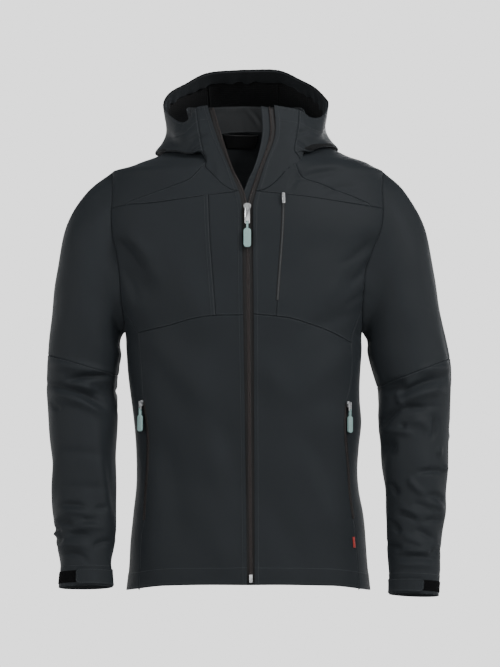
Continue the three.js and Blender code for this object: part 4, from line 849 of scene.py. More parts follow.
back_start, back_end = wrapped(back_edges[LEFT]), wrapped(back_edges[RIGHT])
hem_back = straight(back_start[0], back_end[0])
hem_back[1:-1, 1] = hem_height(180 - np.abs(180 - hem_back[1:-1, 0]))
neck_back = straight(back_start[-1], back_end[-1])
neck_back[:, 1] = neck_height(180 - np.abs(180 - neck_back[:, 0]))
body_piece(
    "back_panel", hem_back, neck_back, back_start, back_end,
    {"bottom": "hem", "top": "plain", "start": "stitched", "end": "stitched"}, cell=5.0)

# %% [markdown]
# ## The hood
# The hood lies thrown back over the shoulders. Its pieces are drawn from stations round the neck:
# each gives the rim, the widest part and the roll that rests on the shoulder, and a smooth curve
# joins them down to the neck seam.

# %% The hood's stations
HOOD_COLUMNS = ["at", "turn", "rim_x", "rim_y", "rim_z", "belly_x", "belly_y", "belly_z",
                "roll_x", "roll_y", "roll_z"]
HOOD = {
    RIGHT: table(HOOD_COLUMNS, [
        [0, 180, -12, 112, 168, -10, 186, 106, -6, 160, 10],
        [1, 152, -74, 104, 161, -72, 176, 102, -66, 152, 8],
        [2, 132, -113, 84, 140, -116, 148, 92, -108, 130, 8],
        [3, 113, -138, 58, 122, -143, 106, 76, -142, 92, 9],
        [4, 97, -148, 30, 101, -146, 58, 56, -158, 48, 10],
        [5, 83, -143, 6, 84, -143, 16, 44, -161, 10, 11],
        [6, 66, -127, -22, 67, -134, -18, 38, -149, -25, 12],
        [7, 48, -114, -38, 60, -125, -44, 34, -128, -53, 9],
        [8, 33, -104, -50, 63, -109, -66, 32, -104, -74, 3],
        [9, 24, -90, -61, 82, -84, -80, 34, -78, -87, 8],
        [10, 4, -71, -70, 85, -55, -87, 32, -34, -100, -22],
    ]),
    LEFT: table(HOOD_COLUMNS, [
        [0, 180, -12, 112, 168, -10, 186, 106, -6, 160, 10],
        [1, 152, 48, 104, 166, 52, 176, 102, 54, 152, 10],
        [2, 132, 88, 86, 147, 98, 148, 92, 98, 130, 10],
        [3, 113, 113, 66, 131, 122, 108, 78, 130, 94, 13],
        [4, 97, 130, 38, 110, 131, 62, 60, 147, 50, 16],
        [5, 83, 134, 12, 97, 131, 20, 52, 150, 12, 18],
        [6, 66, 127, -14, 78, 127, -14, 44, 139, -22, 20],
        [7, 48, 116, -31, 69, 121, -40, 38, 122, -51, 16],
        [8, 33, 100, -46, 68, 106, -64, 34, 101, -73, 9],
        [9, 24, 82, -62, 78, 79, -81, 36, 74, -87, 9],
        [10, 4, 40, -74, 85, 42, -86, 36, 25, -100, -14],
    ]),
}
hood_fit = {side: readings(HOOD[side], "at") for side in (RIGHT, LEFT)}
NECK_LIFT, UNDER_LIFT = 0.5, 9
COLLAR_AT, LAST_STATION = 9, 10
HOOD_FOLD = ["station", "share", "slant", "length", "width", "height"]
HOOD_FOLDS = table(HOOD_FOLD, [
    [-6.6, 0.3, -0.05, 1.6, 0.07, -2.6],
    [-5.2, 0.42, 0.04, 1.5, 0.06, 1.8],
    [-8.2, 0.36, 0.08, 0.8, 0.08, -3.9],
    [6.4, 0.3, 0.05, 1.6, 0.07, -2.6],
    [5.4, 0.44, -0.04, 1.5, 0.06, 1.8],
    [8.1, 0.34, -0.06, 0.8, 0.08, -3.9],
    [-2.6, 0.36, 0.06, 1.4, 0.08, -3.6],
    [2.8, 0.38, -0.06, 1.4, 0.08, -3.6],
    [0.2, 0.22, 0.02, 1.3, 0.07, -3],
    [0, 0.5, 0, 1.6, 0.07, -3.4],
    [-1.2, 0.62, 0.04, 1.4, 0.06, 2.6],
    [1.6, 0.6, -0.04, 1.4, 0.06, 2.6],
    [-7.4, 0.2, 0.03, 0.9, 0.03, -2.1],
    [-5.8, 0.55, -0.05, 1, 0.03, -2.4],
    [-3.4, 0.5, 0.04, 0.9, 0.03, -1.6],
    [5.9, 0.57, 0.05, 1, 0.03, -2.4],
    [7.2, 0.22, -0.03, 0.8, 0.03, -2.1],
    [3.6, 0.52, -0.04, 0.9, 0.03, -1.6],
    [-0.6, 0.36, 0.03, 0.8, 0.03, -1.6],
    [0.9, 0.44, -0.03, 0.7, 0.03, 1.4],
    [-8.6, 0.45, 0.05, 0.5, 0.035, -3.3],
    [-8.3, 0.62, -0.04, 0.6, 0.04, 3],
    [-7.6, 0.5, 0.05, 0.8, 0.035, -3.3],
    [-8.9, 0.25, 0.03, 0.5, 0.03, -2.7],
    [8.5, 0.4, -0.05, 0.5, 0.035, -3.6],
    [8.2, 0.55, 0.05, 0.6, 0.04, 3.3],
    [7.5, 0.48, -0.05, 0.8, 0.035, -3.3],
    [8.8, 0.22, 0.03, 0.5, 0.03, -3],
])


def hood_controls(station):
    """Rim, belly, roll, under and neck of each station, as an array of five points."""
    found = []
    for value in np.atleast_1d(station):
        side, at = (RIGHT if value < 0 else LEFT), abs(float(value))
        fit = hood_fit[side]
        points = [[float(fit[part + axis](at)) for axis in ("_x", "_y", "_z")]
                  for part in ("rim", "belly", "roll")]
        turn = float(fit["turn"](at))
        place = np.array([side * turn, float(neck_height(turn))])
        if at > COLLAR_AT:
            place = neck_front_places(side, np.array([at - COLLAR_AT]))[0]
        neck = body_surface(place[0], place[1] + NECK_LIFT)[0]
        under = (neck + points[2]) / 2
        under[2] += UNDER_LIFT * min(1, max(0, COLLAR_AT - at))
        found.append([*points, under, neck])
    return np.array(found)


def through(controls, share):
    """A centripetal curve through each row of five points, at each share."""
    first = 2 * controls[:, :1] - controls[:, 1:2]
    last = 2 * controls[:, -1:] - controls[:, -2:-1]
    p = np.concatenate([first, controls, last], 1)
    spans = controls.shape[1] - 1
    position = np.clip(share, 0, 1) * spans
    i = np.minimum(position.astype(int), spans - 1)
    w = (position - i)[None, :, None]
    p0, p1, p2, p3 = (p[:, i + k] for k in range(4))
    d0, d1, d2 = (np.linalg.norm(b - a, axis=-1, keepdims=True) ** 0.5
                  for a, b in ((p0, p1), (p1, p2), (p2, p3)))
    t1 = ((p1 - p0) / d0 - (p2 - p0) / (d0 + d1) + (p2 - p1) / d1) * d1
    t2 = ((p2 - p1) / d1 - (p3 - p1) / (d1 + d2) + (p3 - p2) / d2) * d1
    return p1 + t1 * w + (-3 * p1 + 3 * p2 - 2 * t1 - t2) * w ** 2 + (2 * p1 - 2 * p2 + t1 + t2) * w ** 3


def hood_base(stations, shares):
    """Rows follow the shares from rim to neck, columns follow the stations."""
    return through(hood_controls(stations), shares).transpose(1, 0, 2)


def hood_normal(stations, shares):
    small = 0.04
    ahead = np.minimum(LAST_STATION, stations + small)
    behind = np.maximum(-LAST_STATION, stations - small)
    across = hood_base(ahead, shares) - hood_base(behind, shares)
    along = hood_base(stations, np.minimum(1, shares + 0.01)) - hood_base(
        stations, np.maximum(0, shares - 0.01))
    return unit(np.cross(across, along))


def hood_surface(stations, shares):
    stations, shares = np.asarray(stations, float), np.asarray(shares, float)
    base, normal = hood_base(stations, shares), hood_normal(stations, shares)
    height = np.zeros(base.shape[:2])
    for row in HOOD_FOLDS:
        along = (stations[None] - row["station"]) / row["length"]
        across = (shares[:, None] - row["share"] - row["slant"] * along) / row["width"]
        height += row["height"] * np.exp(-across ** 2 - along ** 2)
    fade = np.sqrt(np.maximum(0, np.sin(math.pi * np.minimum(1, shares * 1.2 + 0.1))))[:, None]
    height = height * fade + unevenness(base[..., 0], base[..., 2]) * fade
    return base + normal * height[..., None], normal


# %% [markdown]
# A table cuts the hood between stations: a collar front at each side of the zip, two large sides
# and a strip along the middle. The sides and the strip are lined with mesh.

# %% The hood's pieces
HOOD_PIECES = table(["node", "start", "end", "left", "right", "back"], [
    ["collar_front_R", -10, -9, "edge", "plain", BACKING],
    ["hood_side_R", -9, -1, "stitched", "stitched", QUILT],
    ["hood_centre", -1, 1, "plain", "plain", QUILT],
    ["hood_side_L", 1, 9, "stitched", "stitched", QUILT],
    ["collar_front_L", 9, 10, "plain", "edge", BACKING],
])
HOOD_CELL = 4.2
for piece in HOOD_PIECES:
    probe_u, probe_v = np.linspace(piece["start"], piece["end"], 60), np.linspace(0, 1, 60)
    down, over = measured(hood_base(probe_u, probe_v))
    wide, tall = over[:, -1].max(), down[-1].max()
    u = mix(piece["start"], piece["end"], spread(wide, HOOD_CELL, piece["left"], piece["right"]))
    run = down.mean(1) / down[-1].mean()
    v = np.interp(spread(tall, HOOD_CELL, "rim", "neck"), run, probe_v)
    points, normals = hood_surface(u, v)
    edges = {"bottom": "rim", "top": "neck", "start": piece["left"], "end": piece["right"]}
    points = finish_edges(points, normals, edges)
    cloth(
        piece["node"] + "_cloth", points, normals, back=piece["back"], nodes=[piece["node"]])
    print(piece["node"], points.shape[:2], round(wide), "x", round(tall), "mm")

# %% [markdown]
# Inside the hood a facing follows the rim. It is caught only by the rim's stitches and its lower
# edge is gathered by an elastic, which is why it ripples. The collar stand is a softer, lighter
# band between the hood and the neck seam, seen through the open front.

# %% Facing and collar stand
FACING_DEPTH, FACING_WALL, FACING_FROM, FACING_OFF, GATHER = 27.0, 0.8, 2.0, 0.5, 0.85
u = np.linspace(-COLLAR_AT, COLLAR_AT, 260)
v_probe = np.linspace(0, 1, 80)
down, _ = measured(hood_base(u, v_probe))
ripple = 1.4 * np.sin(u * 7.3 + 2.6 * np.sin(u * 1.9)) + 0.8 * np.sin(u * 13.0 + 2 * np.sin(u))
depths = spread(FACING_DEPTH, 2.4, "raw", "free")
share_grid = np.array([
    [np.interp(FACING_FROM + t * (FACING_DEPTH + 0.8 * r), down[:, k], v_probe)
     for k, r in enumerate(ripple)]
    for t in depths])
facing, facing_normals = np.zeros((*share_grid.shape, 3)), np.zeros((*share_grid.shape, 3))
for k, station in enumerate(u):
    p, n = hood_surface(np.array([station]), share_grid[:, k])
    wave = depths ** 1.5 * (1.0 + ripple[k] * GATHER)
    facing[:, k] = p[:, 0] - n[:, 0] * (WALL + FACING_OFF + np.maximum(0, wave))[:, None]
    facing_normals[:, k] = n[:, 0]
facing_cloth = cloth("hood_facing", facing, facing_normals, face=BACKING, back=STAND_CLOTH,
                     wall=FACING_WALL)
print("facing", facing.shape[:2])

STAND_FROM, STAND_HEIGHT, STAND_INSET, STAND_LEAN, STAND_WALL = 44, 46, 4, 5, 1.2
STAND_DRIFT, STAND_CENTRE, STAND_ENDS, STAND_EVENS_OUT = -8, -12, 1.2, 110
turns = np.linspace(STAND_FROM, 360 - STAND_FROM, 170)
even = 180 - np.abs(180 - turns)
signed = np.where(turns > 180, turns - 360, turns)
foot = body_base(signed, neck_height(even))
out = unit(np.stack([foot[:, 0] - STAND_CENTRE, foot[:, 1], 0 * turns], -1))
tall = STAND_HEIGHT * mix(STAND_ENDS, 1, np.minimum(1, (even - STAND_FROM) / STAND_EVENS_OUT))
v = spread(STAND_HEIGHT, 2.8, "stitched", "free")[:, None]
stand = foot[None] + out[None] * (STAND_LEAN * v - STAND_INSET)[..., None]
stand[..., 0] += STAND_DRIFT * v
stand[..., 2] += tall[None] * v
STAND_CREASES = table(CREASE, [
    [4, 78, -52, 22, 3, 4, 2.4],
    [10, 76, -56, 20, 3, 4, -2.4],
    [-60, 80, 20, 30, 3, 6, -1.6],
    [62, 84, -14, 30, 3, 6, 1.8],
    [-20, 92, 8, 40, 2, 5, 1.4],
])
stand_normals = np.broadcast_to(-out[None], stand.shape).copy()
swell = crease_height(STAND_CREASES, stand[..., 0], stand[..., 2]) + STAND_WALL
stand = stand + stand_normals * swell[..., None]
stand = finish_edges(stand, stand_normals,
                     {"bottom": "stitched", "top": "free", "start": "raw", "end": "raw"})
stand_cloth = cloth("collar_stand_cloth", stand, stand_normals, face=STAND_CLOTH,
                    back=STAND_CLOTH, wall=STAND_WALL, nodes=["collar_stand"])
print("collar stand", stand.shape[:2])

# %% [markdown]
# ## Sleeves
# A sleeve is a tube whose middle bends forward to the hand. Most of its character is in the
# creases of the elbow and the lower arm, where cloth that is longer than the arm stacks up.
# Creases are placed on the front as the photograph shows them, and hidden ones behind are alike
# but not mirrored.

# %% The arms' sections
ARM_COLUMNS = ["at", "out_x", "out_z", "in_x", "in_z", "mid_y", "depth"]
ARMS = {
    RIGHT: table(ARM_COLUMNS, [
        [0, -231, -19, -212, -292, 0, 62],
        [1, -276, -54, -217, -298, 0, 66],
        [2, -311, -112, -220, -305, 0, 70],
        [3, -329, -196, -221, -316, -1, 71],
        [4, -337, -269, -219, -334, -2, 69],
        [5, -343.5, -332, -224.5, -367, -4, 66],
        [6, -345, -382, -224.2, -408, -7, 64],
        [7, -342.6, -425, -223.9, -441.7, -11, 61],
        [8, -338.3, -475, -225, -483.6, -18, 58],
        [9, -334, -520, -224.4, -525, -27, 55],
        [10, -333, -566.6, -224.6, -570, -37, 51],
        [11, -328.8, -611, -224, -608, -46, 47],
        [12, -323, -649, -226.7, -644, -55, 43],
        [13, -317.7, -678, -230.2, -676, -64, 40],
        [14, -317.8, -718.5, -229.6, -717, -73, 38],
    ]),
    LEFT: table(ARM_COLUMNS, [
        [0, 222, -19, 189, -292, 0, 62],
        [1, 263, -54, 194, -298, 0, 66],
        [2, 297, -114, 198, -304, 0, 70],
        [3, 313, -200, 200, -313, -1, 71],
        [4, 326, -275, 201, -332, -2, 69],
        [5, 338.5, -338, 216, -386, -4, 66],
        [6, 341.4, -391, 217.4, -411.4, -7, 64],
        [7, 339.2, -433, 217.1, -441.7, -11, 61],
        [8, 336.7, -475, 220, -480, -18, 58],
        [9, 334, -520, 222.7, -520, -27, 55],
        [10, 329.7, -561.6, 227, -558, -37, 51],
        [11, 328.8, -594.5, 228.2, -594.5, -46, 47],
        [12, 321.3, -632, 229.2, -637, -55, 43],
        [13, 317, -691, 231.8, -691, -66, 40],
        [14, 314.5, -732, 231.3, -728.5, -74, 38],
    ]),
}
arm_fit = {side: readings(ARMS[side], "at") for side in (RIGHT, LEFT)}
ARM_CREASES = {
    RIGHT: table(CREASE, [
        [-283, -359, -11, 71, 5.9, 8.1, 5.9],
        [-267, -373, 4, 51, 7, 5.4, -9.2],
        [-245, -393, -7, 31, 0, 18, -9.2],
        [-292, -403, -21, 68, 12, 5.4, -7.7],
        [-272, -387, -19, 32, 2.9, 4.5, 4.2],
        [-288, -417, -22, 58, 9.4, 7.2, 6.7],
        [-327, -417, -28, 15, 0, 4.5, -3.7],
        [-282, -498, -3, 51, 4.9, 8.1, -2.5],
        [-278, -553, -1, 51, 4.1, 7.2, -2.4],
        [-293, -583, -3, 26, 4.1, 4.5, -5],
        [-291, -594, -2, 32, 4.1, 5.4, 4.2],
        [-247, -585, -6, 12, 0, 4.5, -4.1],
        [-307, -613, -7, 20, 5.2, 4.5, -5.4],
        [-266, -603, 0, 16, 0, 4.5, -4.1],
        [-283, -630, -3, 25, 4, 4.5, -5.8],
        [-268, -619, -2, 28, 4.1, 5.4, 4.7],
        [-244, -646, 14, 19, 5.7, 4.5, -5],
        [-289, -669, -19, 32, 9.9, 4.5, -5],
        [-292, -649, -4, 35, 5, 6.3, 5],
        [-323, -623, 0, 13, 0, 4, -5],
        [-319, -638, 0, 12, 0, 4, -4.3],
        [-322, -630, 0, 12, 0, 4, 3.4],
        [-245, -539, -84, 127, -0.8, 10.8, 3],
        [-227, -529, -86, 104, 0.6, 12.6, -4.1],
    ]),
    LEFT: table(CREASE, [
        [308, -357, 6, 35, 2.7, 7.2, 5.9],
        [239, -384, 10, 27, 0, 9.9, -10],
        [288, -388, 21, 62, 10.1, 5.4, -8.5],
        [250, -406, -64, 21, 0, 4.5, 5],
        [293, -401, 15, 53, 6.8, 7.2, 6.7],
        [284, -417, -1, 48, 1.2, 4.5, -2.6],
        [236, -436, 43, 26, 4.1, 5.4, -6.7],
        [271, -423, 2, 30, 4.1, 5.4, -5.8],
        [304, -451, 87, 26, -4.1, 5.4, -5.8],
        [279, -451, -17, 24, 10.5, 8.1, 5],
        [255, -449, 0, 7, 0, 4.5, -4.1],
        [233, -484, 4, 15, 0, 10.8, -7.7],
        [246, -464, -4, 33, 6.9, 6.3, 5],
        [316, -492, 0, 7, 0, 6.3, 4.3],
        [325, -521, 0, 9, 0, 5.4, 4.3],
        [300, -527, 2, 30, 4.2, 4.5, -5.8],
        [277, -547, -47, 24, -4.1, 5.4, 5.8],
        [239, -553, -51, 15, 0, 4.5, -5.8],
        [309, -572, -22, 21, 7.8, 4.5, -5],
        [309, -583, -25, 19, 3.3, 4.5, 4.1],
        [285, -583, -23, 20, 3.7, 4.5, -5],
        [260, -600, -24, 23, 3.7, 4.5, -5],
        [265, -590, -24, 25, 0.8, 4.5, 3.7],
        [240, -615, -45, 16, 0, 4.5, -5.8],
        [304, -607, 0, 23, 3.4, 4.5, -5],
        [289, -630, -31, 24, 4.4, 4.5, -5],
        [269, -638, -24, 28, 2.2, 5.4, 4.3],
        [239, -647, -8, 16, 0, 4.5, -5],
        [276, -652, -4, 30, -1.8, 4.5, 5],
        [307, -655, 14, 14, 0, 4.5, -5],
        [274, -670, -3, 46, 7.1, 4.5, -5],
        [274, -681, -2, 42, 4.5, 4.5, 3.4],
    ]),
}


def behind(rows, middle):
    """Creases for the hidden side: like the front's, turned over, softer and a little lower."""
    return [
        {**row, "x": 2 * middle - row["x"], "z": row["z"] - 11, "slant": -0.8 * row["slant"],
         "length": row["length"] * 1.1, "height": row["height"] * 0.75}
        for k, row in enumerate(rows) if k % 3 != 2
    ]


BACK_OF_ARM = {side: behind(ARM_CREASES[side], side * 280) for side in (RIGHT, LEFT)}
ELBOW_ROW, LAST_ROW, CAP_BLEND, UNDERARM_TURN = 5, 14, 1.4, 205


def arm_sections(side, at):
    fit = {name: read(at) for name, read in arm_fit[side].items()}
    outer = np.stack([fit["out_x"], fit["mid_y"], fit["out_z"]], -1)
    inner = np.stack([fit["in_x"], fit["mid_y"], fit["in_z"]], -1)
    return outer, (outer + inner) / 2, fit["depth"]


def arm_frame(side, at):
    outer, middle, depth = arm_sections(side, at)
    above = arm_sections(side, np.maximum(0, at - 0.1))[1]
    below = arm_sections(side, np.minimum(LAST_ROW, at + 0.1))[1]
    down, outward = unit(below - above), unit(outer - middle)
    forward = unit(np.cross(down, outward))
    forward = np.where(forward[..., 1:2] > 0, -forward, forward)
    return middle, outward, forward, np.linalg.norm(outer - middle, axis=-1), depth


def arm_surface(side, at, turn):
    """Rows follow the arm table, turn goes round: 0 outer side, 90 front, 180 inner side."""
    at, turn = np.broadcast_arrays(np.asarray(at, float), np.asarray(turn, float))
    middle, outward, forward, half, depth = arm_frame(side, at)
    c, s = np.cos(np.radians(turn))[..., None], np.sin(np.radians(turn))[..., None]
    half, depth = half[..., None], depth[..., None]
    normal = unit(outward * c / half + forward * s / depth)
    point = middle + outward * half * c + forward * depth * s
    front = np.clip((s[..., 0] + 0.25) / 0.5, 0, 1)
    front = front * front * (3 - 2 * front)
    x, z = point[..., 0], point[..., 2]
    height = front * crease_height(ARM_CREASES[side], x, z)
    height += (1 - front) * crease_height(BACK_OF_ARM[side], x, z)
    height += unevenness(x + 3 * point[..., 1], z, 0.3)
    return point + normal * height[..., None], normal


def armhole_points(side, turn):
    """Where the sleeve's first row meets the armhole, for each turn round the arm."""
    middle, half = (ARM_TOP + ARM_BOTTOM) / 2, (ARM_TOP - ARM_BOTTOM) / 2
    z = middle + half * np.cos(np.radians(turn))
    places = np.where((np.sin(np.radians(turn)) >= 0)[:, None],
                      armhole_place(side, z, False), armhole_place(side, z, True))
    return body_surface(places[:, 0], places[:, 1])


ARM_RADIUS = 55.0
SEAM_DITCH = {"depth": 0.8, "width": 1.3}
SEAM_RIDGE = {"height": 0.4, "at": 3.5, "width": 3.0}


def sleeve_seam(points, normals, turn, where):
    """The long seam under the arm: a ditch with one raised, stitched side."""
    off = (turn - where + 180) % 360 - 180
    d = np.radians(off) * ARM_RADIUS
    ditch = SEAM_DITCH["depth"] * np.exp(-(d / SEAM_DITCH["width"]) ** 2)
    ridge = SEAM_RIDGE["height"] * np.exp(-((d - SEAM_RIDGE["at"]) / SEAM_RIDGE["width"]) ** 4)
    height = ridge * (d > 0) - ditch
    return points + normals * height[None, :, None]


# %% [markdown]
# Each sleeve is a closed tube in two pieces that meet at the slanted elbow seam. The first rows of
# the upper one blend into the armhole's own line, which closes the seam without a step. Extra
# lines crowd at the seam under the arm.

# %% The sleeves
SEAM_MARKS = np.array([-3.2, -1.6, -0.8, 0, 0.8, 1.6, 3.2, 4.6, 6, 7.4])
MM_PER_DEGREE, LINES_ROUND, LEAST_STEP = 0.96, 112, 1.2
seam_turns = UNDERARM_TURN + SEAM_MARKS / MM_PER_DEGREE
even_turns = np.linspace(0, 360, LINES_ROUND, endpoint=False)
clear = np.abs(even_turns[:, None] - seam_turns[None]).min(1) > LEAST_STEP
sleeve_turns = np.sort(np.concatenate([even_turns[clear], seam_turns]))
for side in (RIGHT, LEFT):
    letter = LETTER[side]
    for part, first, last, low, high, cell in (
        ("upper", 0, ELBOW_ROW, "plain", "plain", 3.6),
        ("lower", ELBOW_ROW, LAST_ROW, "stitched", "cuff", 3.0),
    ):
        probe = np.linspace(first, last, 90)
        _, middle, _ = arm_sections(side, probe)
        run = np.concatenate([[0], np.linalg.norm(np.diff(middle, axis=0), axis=1).cumsum()])
        rows = np.interp(spread(run[-1], cell, low, high) * run[-1], run, probe)
        points, normals = arm_surface(side, rows[:, None], sleeve_turns[None])
        if part == "upper":
            smooth = np.minimum(1, rows / CAP_BLEND)
            share = (smooth * smooth * (3 - 2 * smooth))[:, None, None]
            start, _ = arm_surface(side, 0.0, sleeve_turns)
            hole, hole_normals = armhole_points(side, sleeve_turns)
            points = points + (hole - start)[None] * (1 - share)
            normals = unit(mix(hole_normals[None], normals, share))
        points = sleeve_seam(points, normals, sleeve_turns, UNDERARM_TURN)
        points = finish_edges(points, normals, {"bottom": low, "top": high})
        node = "sleeve_" + part + "_" + letter
        cloth(node + "_cloth", points, normals, wraps=True, nodes=[node])
        print(node, points.shape[:2], round(run[-1]), "mm long")

# %% [markdown]
# ## The main zip
# Two tapes lie under the edges of the fronts. Up to the slider they meet; above it they part and
# follow the collar. The coil is a row of small loops along each tape's inner edge. Behind the
# wearer's left tape a flap keeps wind out.

# %% Tapes and flap
ZIP_MIDDLE = table(["z", "x"], [
    [-706, 1.6], [-535, 0], [-404, -1.3], [-272, -2.6], [-174, -3.6], [-100, -4.3], [-82, -4.5],
])
zip_middle = reading(ZIP_MIDDLE, "z", "x")
edge_reading = {side: reading(SEAMS[side]["edge"], "z", "x") for side in (RIGHT, LEFT)}
ZIP_OPEN, ZIP_FOOT, TAPE_REACH, TAPE_DEPTH, TAPE_WALL, TAPE_UNDERLAP = -84, -704, 8.6, 2.2, 1.0, 8
FLAP_REACH, FLAP_UNDERLAP, FLAP_DEPTH, FLAP_WALL = 21.5, 12, 3.75, 1.2


def beside_edge(side, along, reach, lift):
    """Places past a front's edge: along is 0..1 up the body and 1..2 up the collar's edge."""
    along, reach = np.broadcast_arrays(np.asarray(along, float), np.asarray(reach, float))
    z = mix(ZIP_FOOT, EDGE_TOP - 3, np.minimum(along, 1))
    x = edge_reading[side](z) - side * reach
    points, normals = body_surface(turn_at_x(x, z), z, lift)
    for index in np.argwhere(along > 1):
        k = tuple(index)
        share = np.array([mix(0.985, 0.02, along[k] - 1)])
        edge = hood_base(np.array([side * 10.0]), share)[0, 0]
        beside = hood_base(np.array([side * 9.9]), share)[0, 0]
        normal = hood_normal(np.array([side * 10.0]), share)[0, 0]
        points[k] = edge + unit(edge - beside) * reach[k] + normal * lift
        normals[k] = normal
    return points, normals


def tape_reach(side, along):
    z = mix(ZIP_FOOT, EDGE_TOP - 3, np.minimum(along, 1))
    to_middle = np.abs(edge_reading[side](z) - zip_middle(z)) - 0.25
    closed = np.where(z > ZIP_OPEN, np.minimum(to_middle, TAPE_REACH), to_middle)
    return np.where(along > 1, TAPE_REACH, closed)


edge_along = np.concatenate([np.linspace(0, 1, 200), 1 + np.linspace(0.01, 1, 45)])
for side in (RIGHT, LEFT):
    reach = tape_reach(side, edge_along)
    columns = [np.full(len(edge_along), -TAPE_UNDERLAP), 0 * reach, reach * 0.45, reach * 0.8, reach]
    if side == LEFT:
        columns = columns[::-1]
    grid, ways = zip(*(beside_edge(side, edge_along, c, -TAPE_DEPTH) for c in columns))
    cloth("zip_tape_" + LETTER[side] + "_cloth", np.stack(grid, 1),
                             np.stack(ways, 1), face=TAPE, back=TAPE, wall=TAPE_WALL,
                             nodes=["zip_tape_" + LETTER[side]])
flap_columns = [FLAP_REACH, FLAP_REACH - 1, FLAP_REACH - 3, FLAP_REACH * 0.5, 4, -FLAP_UNDERLAP]
grid, ways = zip(*(beside_edge(LEFT, edge_along, c, -FLAP_DEPTH) for c in flap_columns))
flap_points = finish_edges(np.stack(grid, 1), np.stack(ways, 1),
                           {"bottom": "raw", "top": "raw", "start": "free", "end": "raw"})
flap_cloth = cloth("wind_flap_cloth", flap_points, np.stack(ways, 1), face=SHELL, back=STAND_CLOTH,
                   wall=FLAP_WALL, nodes=["wind_flap"])
print("two tapes and a flap of", len(edge_along), "rows")

# %% [markdown]
# Small repeated things such as coils and stitches are made once as a tiny form and copied along
# a line, each turned to the line's direction. One mesh holds all of them, which stays light.

# %% Small forms along a line
def evenly(points, normals, pitch):
    """Places, directions and ways out at even steps along a line."""
    gaps = np.linalg.norm(np.diff(points, axis=0), axis=1)
    run = np.concatenate([[0], gaps.cumsum()])
    where = np.arange(pitch / 2, run[-1], pitch)
    at, ahead, back = (np.stack([np.interp(where + step, run, points[:, k]) for k in range(3)], -1)
                       for step in (0, 0.5, -0.5))
    way = unit(np.stack([np.interp(where, run, normals[:, k]) for k in range(3)], -1))
    along = unit(ahead - back)
    way = unit(way - along * (way * along).sum(-1, keepdims=True))
    return at, along, way


def bead(sides=6, rings=(-1.0, -0.7, 0.7, 1.0), girths=(0.05, 1.0, 1.0, 0.05)):
    """A rounded bead along x, as corners and quads."""
    angles = np.arange(sides) * 2 * math.pi / sides
    corners = [[x, g * math.cos(a), g * math.sin(a)] for x, g in zip(rings, girths) for a in angles]
    quads = []
    for r in range(len(rings) - 1):
        for k in range(sides):
            a, b = r * sides + k, r * sides + (k + 1) % sides
            quads.append([a, a + sides, b + sides, b])
    return np.array(corners), np.array(quads)


def copies(name, form, at, axes, sizes, material, lift=0.0):
    """Copies one form to many places; the three axes are its x, y and z at each place."""
    base, quads = form
    local = base * np.array(sizes)
    local[:, 2] += lift
    corners = at[:, None] + sum(axis[:, None] * local[None, :, k:k + 1] for k, axis in enumerate(axes))
    all_quads = (quads[None] + np.arange(len(at))[:, None, None] * len(base)).reshape(-1, 4)
    thing = make_mesh(name, corners.reshape(-1, 3) / 1000, all_quads, [material])
    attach(thing, JACKET)
    return thing


# %% [markdown]
# The loops of this zip are about three millimetres wide. The left coil is moved on by half a
# pitch, so that the two rows mesh where the zip is closed.

# %% Coils of the main zip
TOOTH_PITCH, TOOTH = 1.55, (1.7, 0.5, 0.55)
for side in (RIGHT, LEFT):
    reach = tape_reach(side, edge_along) - 1.1
    points, normals = beside_edge(side, edge_along, reach, -TAPE_DEPTH)
    at, along, way = evenly(points, normals, TOOTH_PITCH)
    if side == LEFT:
        at = at + along * TOOTH_PITCH / 2
    copies("zip_coil_" + LETTER[side], bead(), at, (np.cross(along, way), along, way), TOOTH,
           COIL, 0.3)
    print("coil", LETTER[side], len(at), "loops")

# %% [markdown]
# ## Pocket zips, tag, label and cuffs
# The pocket zips lie closed in their seams, so only a narrow tape and the coil show. The cuffs
# close with a tab that lies over a strip of hook fastener. What is sewn on a panel is made from
# the panel's own places, moved out, so it follows every swell of the cloth.

# %% Strips on the body
ON_CLOTH, TRIM_WALL, STRIP_LIFT = 0.35, 1.2, -0.5
side_line = {side: reading(SEAMS[side]["side"], "z", "x") for side in (RIGHT, LEFT)}
chest_line = reading(SEAMS[LEFT]["split"], "z", "x")


def body_strip(centre, width, low, high, rows, lift, columns=5):
    z = np.linspace(low, high, rows)
    middle = turn_at_x(centre(z), z)
    per_mm = 1 / np.linalg.norm(body_base(middle + 0.5, z) - body_base(middle - 0.5, z), axis=-1)
    offsets = np.linspace(-0.5, 0.5, columns)
    turns = middle[:, None] + offsets[None] * width * per_mm[:, None]
    return body_surface(turns, z[:, None] + 0 * turns, lift + TRIM_WALL)


# The chest zip takes the coil whose light grey is a painted highlight.
STRIPS = table(["name", "centre", "width", "low", "high", "coil"], [
    ["pocket_zip_R", side_line[RIGHT], 7, -606, -409, COIL],
    ["pocket_zip_L", side_line[LEFT], 7, -604, -411, COIL],
    ["chest_zip", chest_line, 5, -240, -66.5, PAINTED_HIGHLIGHT_COIL],
])
for strip in STRIPS:
    rows = int((strip["high"] - strip["low"]) / 4)
    points, normals = body_strip(strip["centre"], strip["width"], strip["low"], strip["high"],
                                 rows, STRIP_LIFT)
    cloth(strip["name"] + "_cloth", points, normals, face=TAPE, back=TAPE,
                              wall=1.0, nodes=[strip["name"]])
    middle = points.shape[1] // 2
    at, along, way = evenly(points[:, middle], normals[:, middle], 1.4)
    copies(strip["name"] + "_coil", bead(), at, (np.cross(along, way), along, way),
           (1.5, 0.42, 0.5), strip["coil"], 0.1)

TAG = {"from": -652, "to": -634, "width": 5}
points, normals = body_strip(lambda z: side_line[LEFT](z) - 3.4, TAG["width"], TAG["from"],
                             TAG["to"], 12, ON_CLOTH)
tag_cloth = cloth("side_tag_cloth", points, normals, face=RED, back=RED, wall=1.0,
                  nodes=["side_tag"])

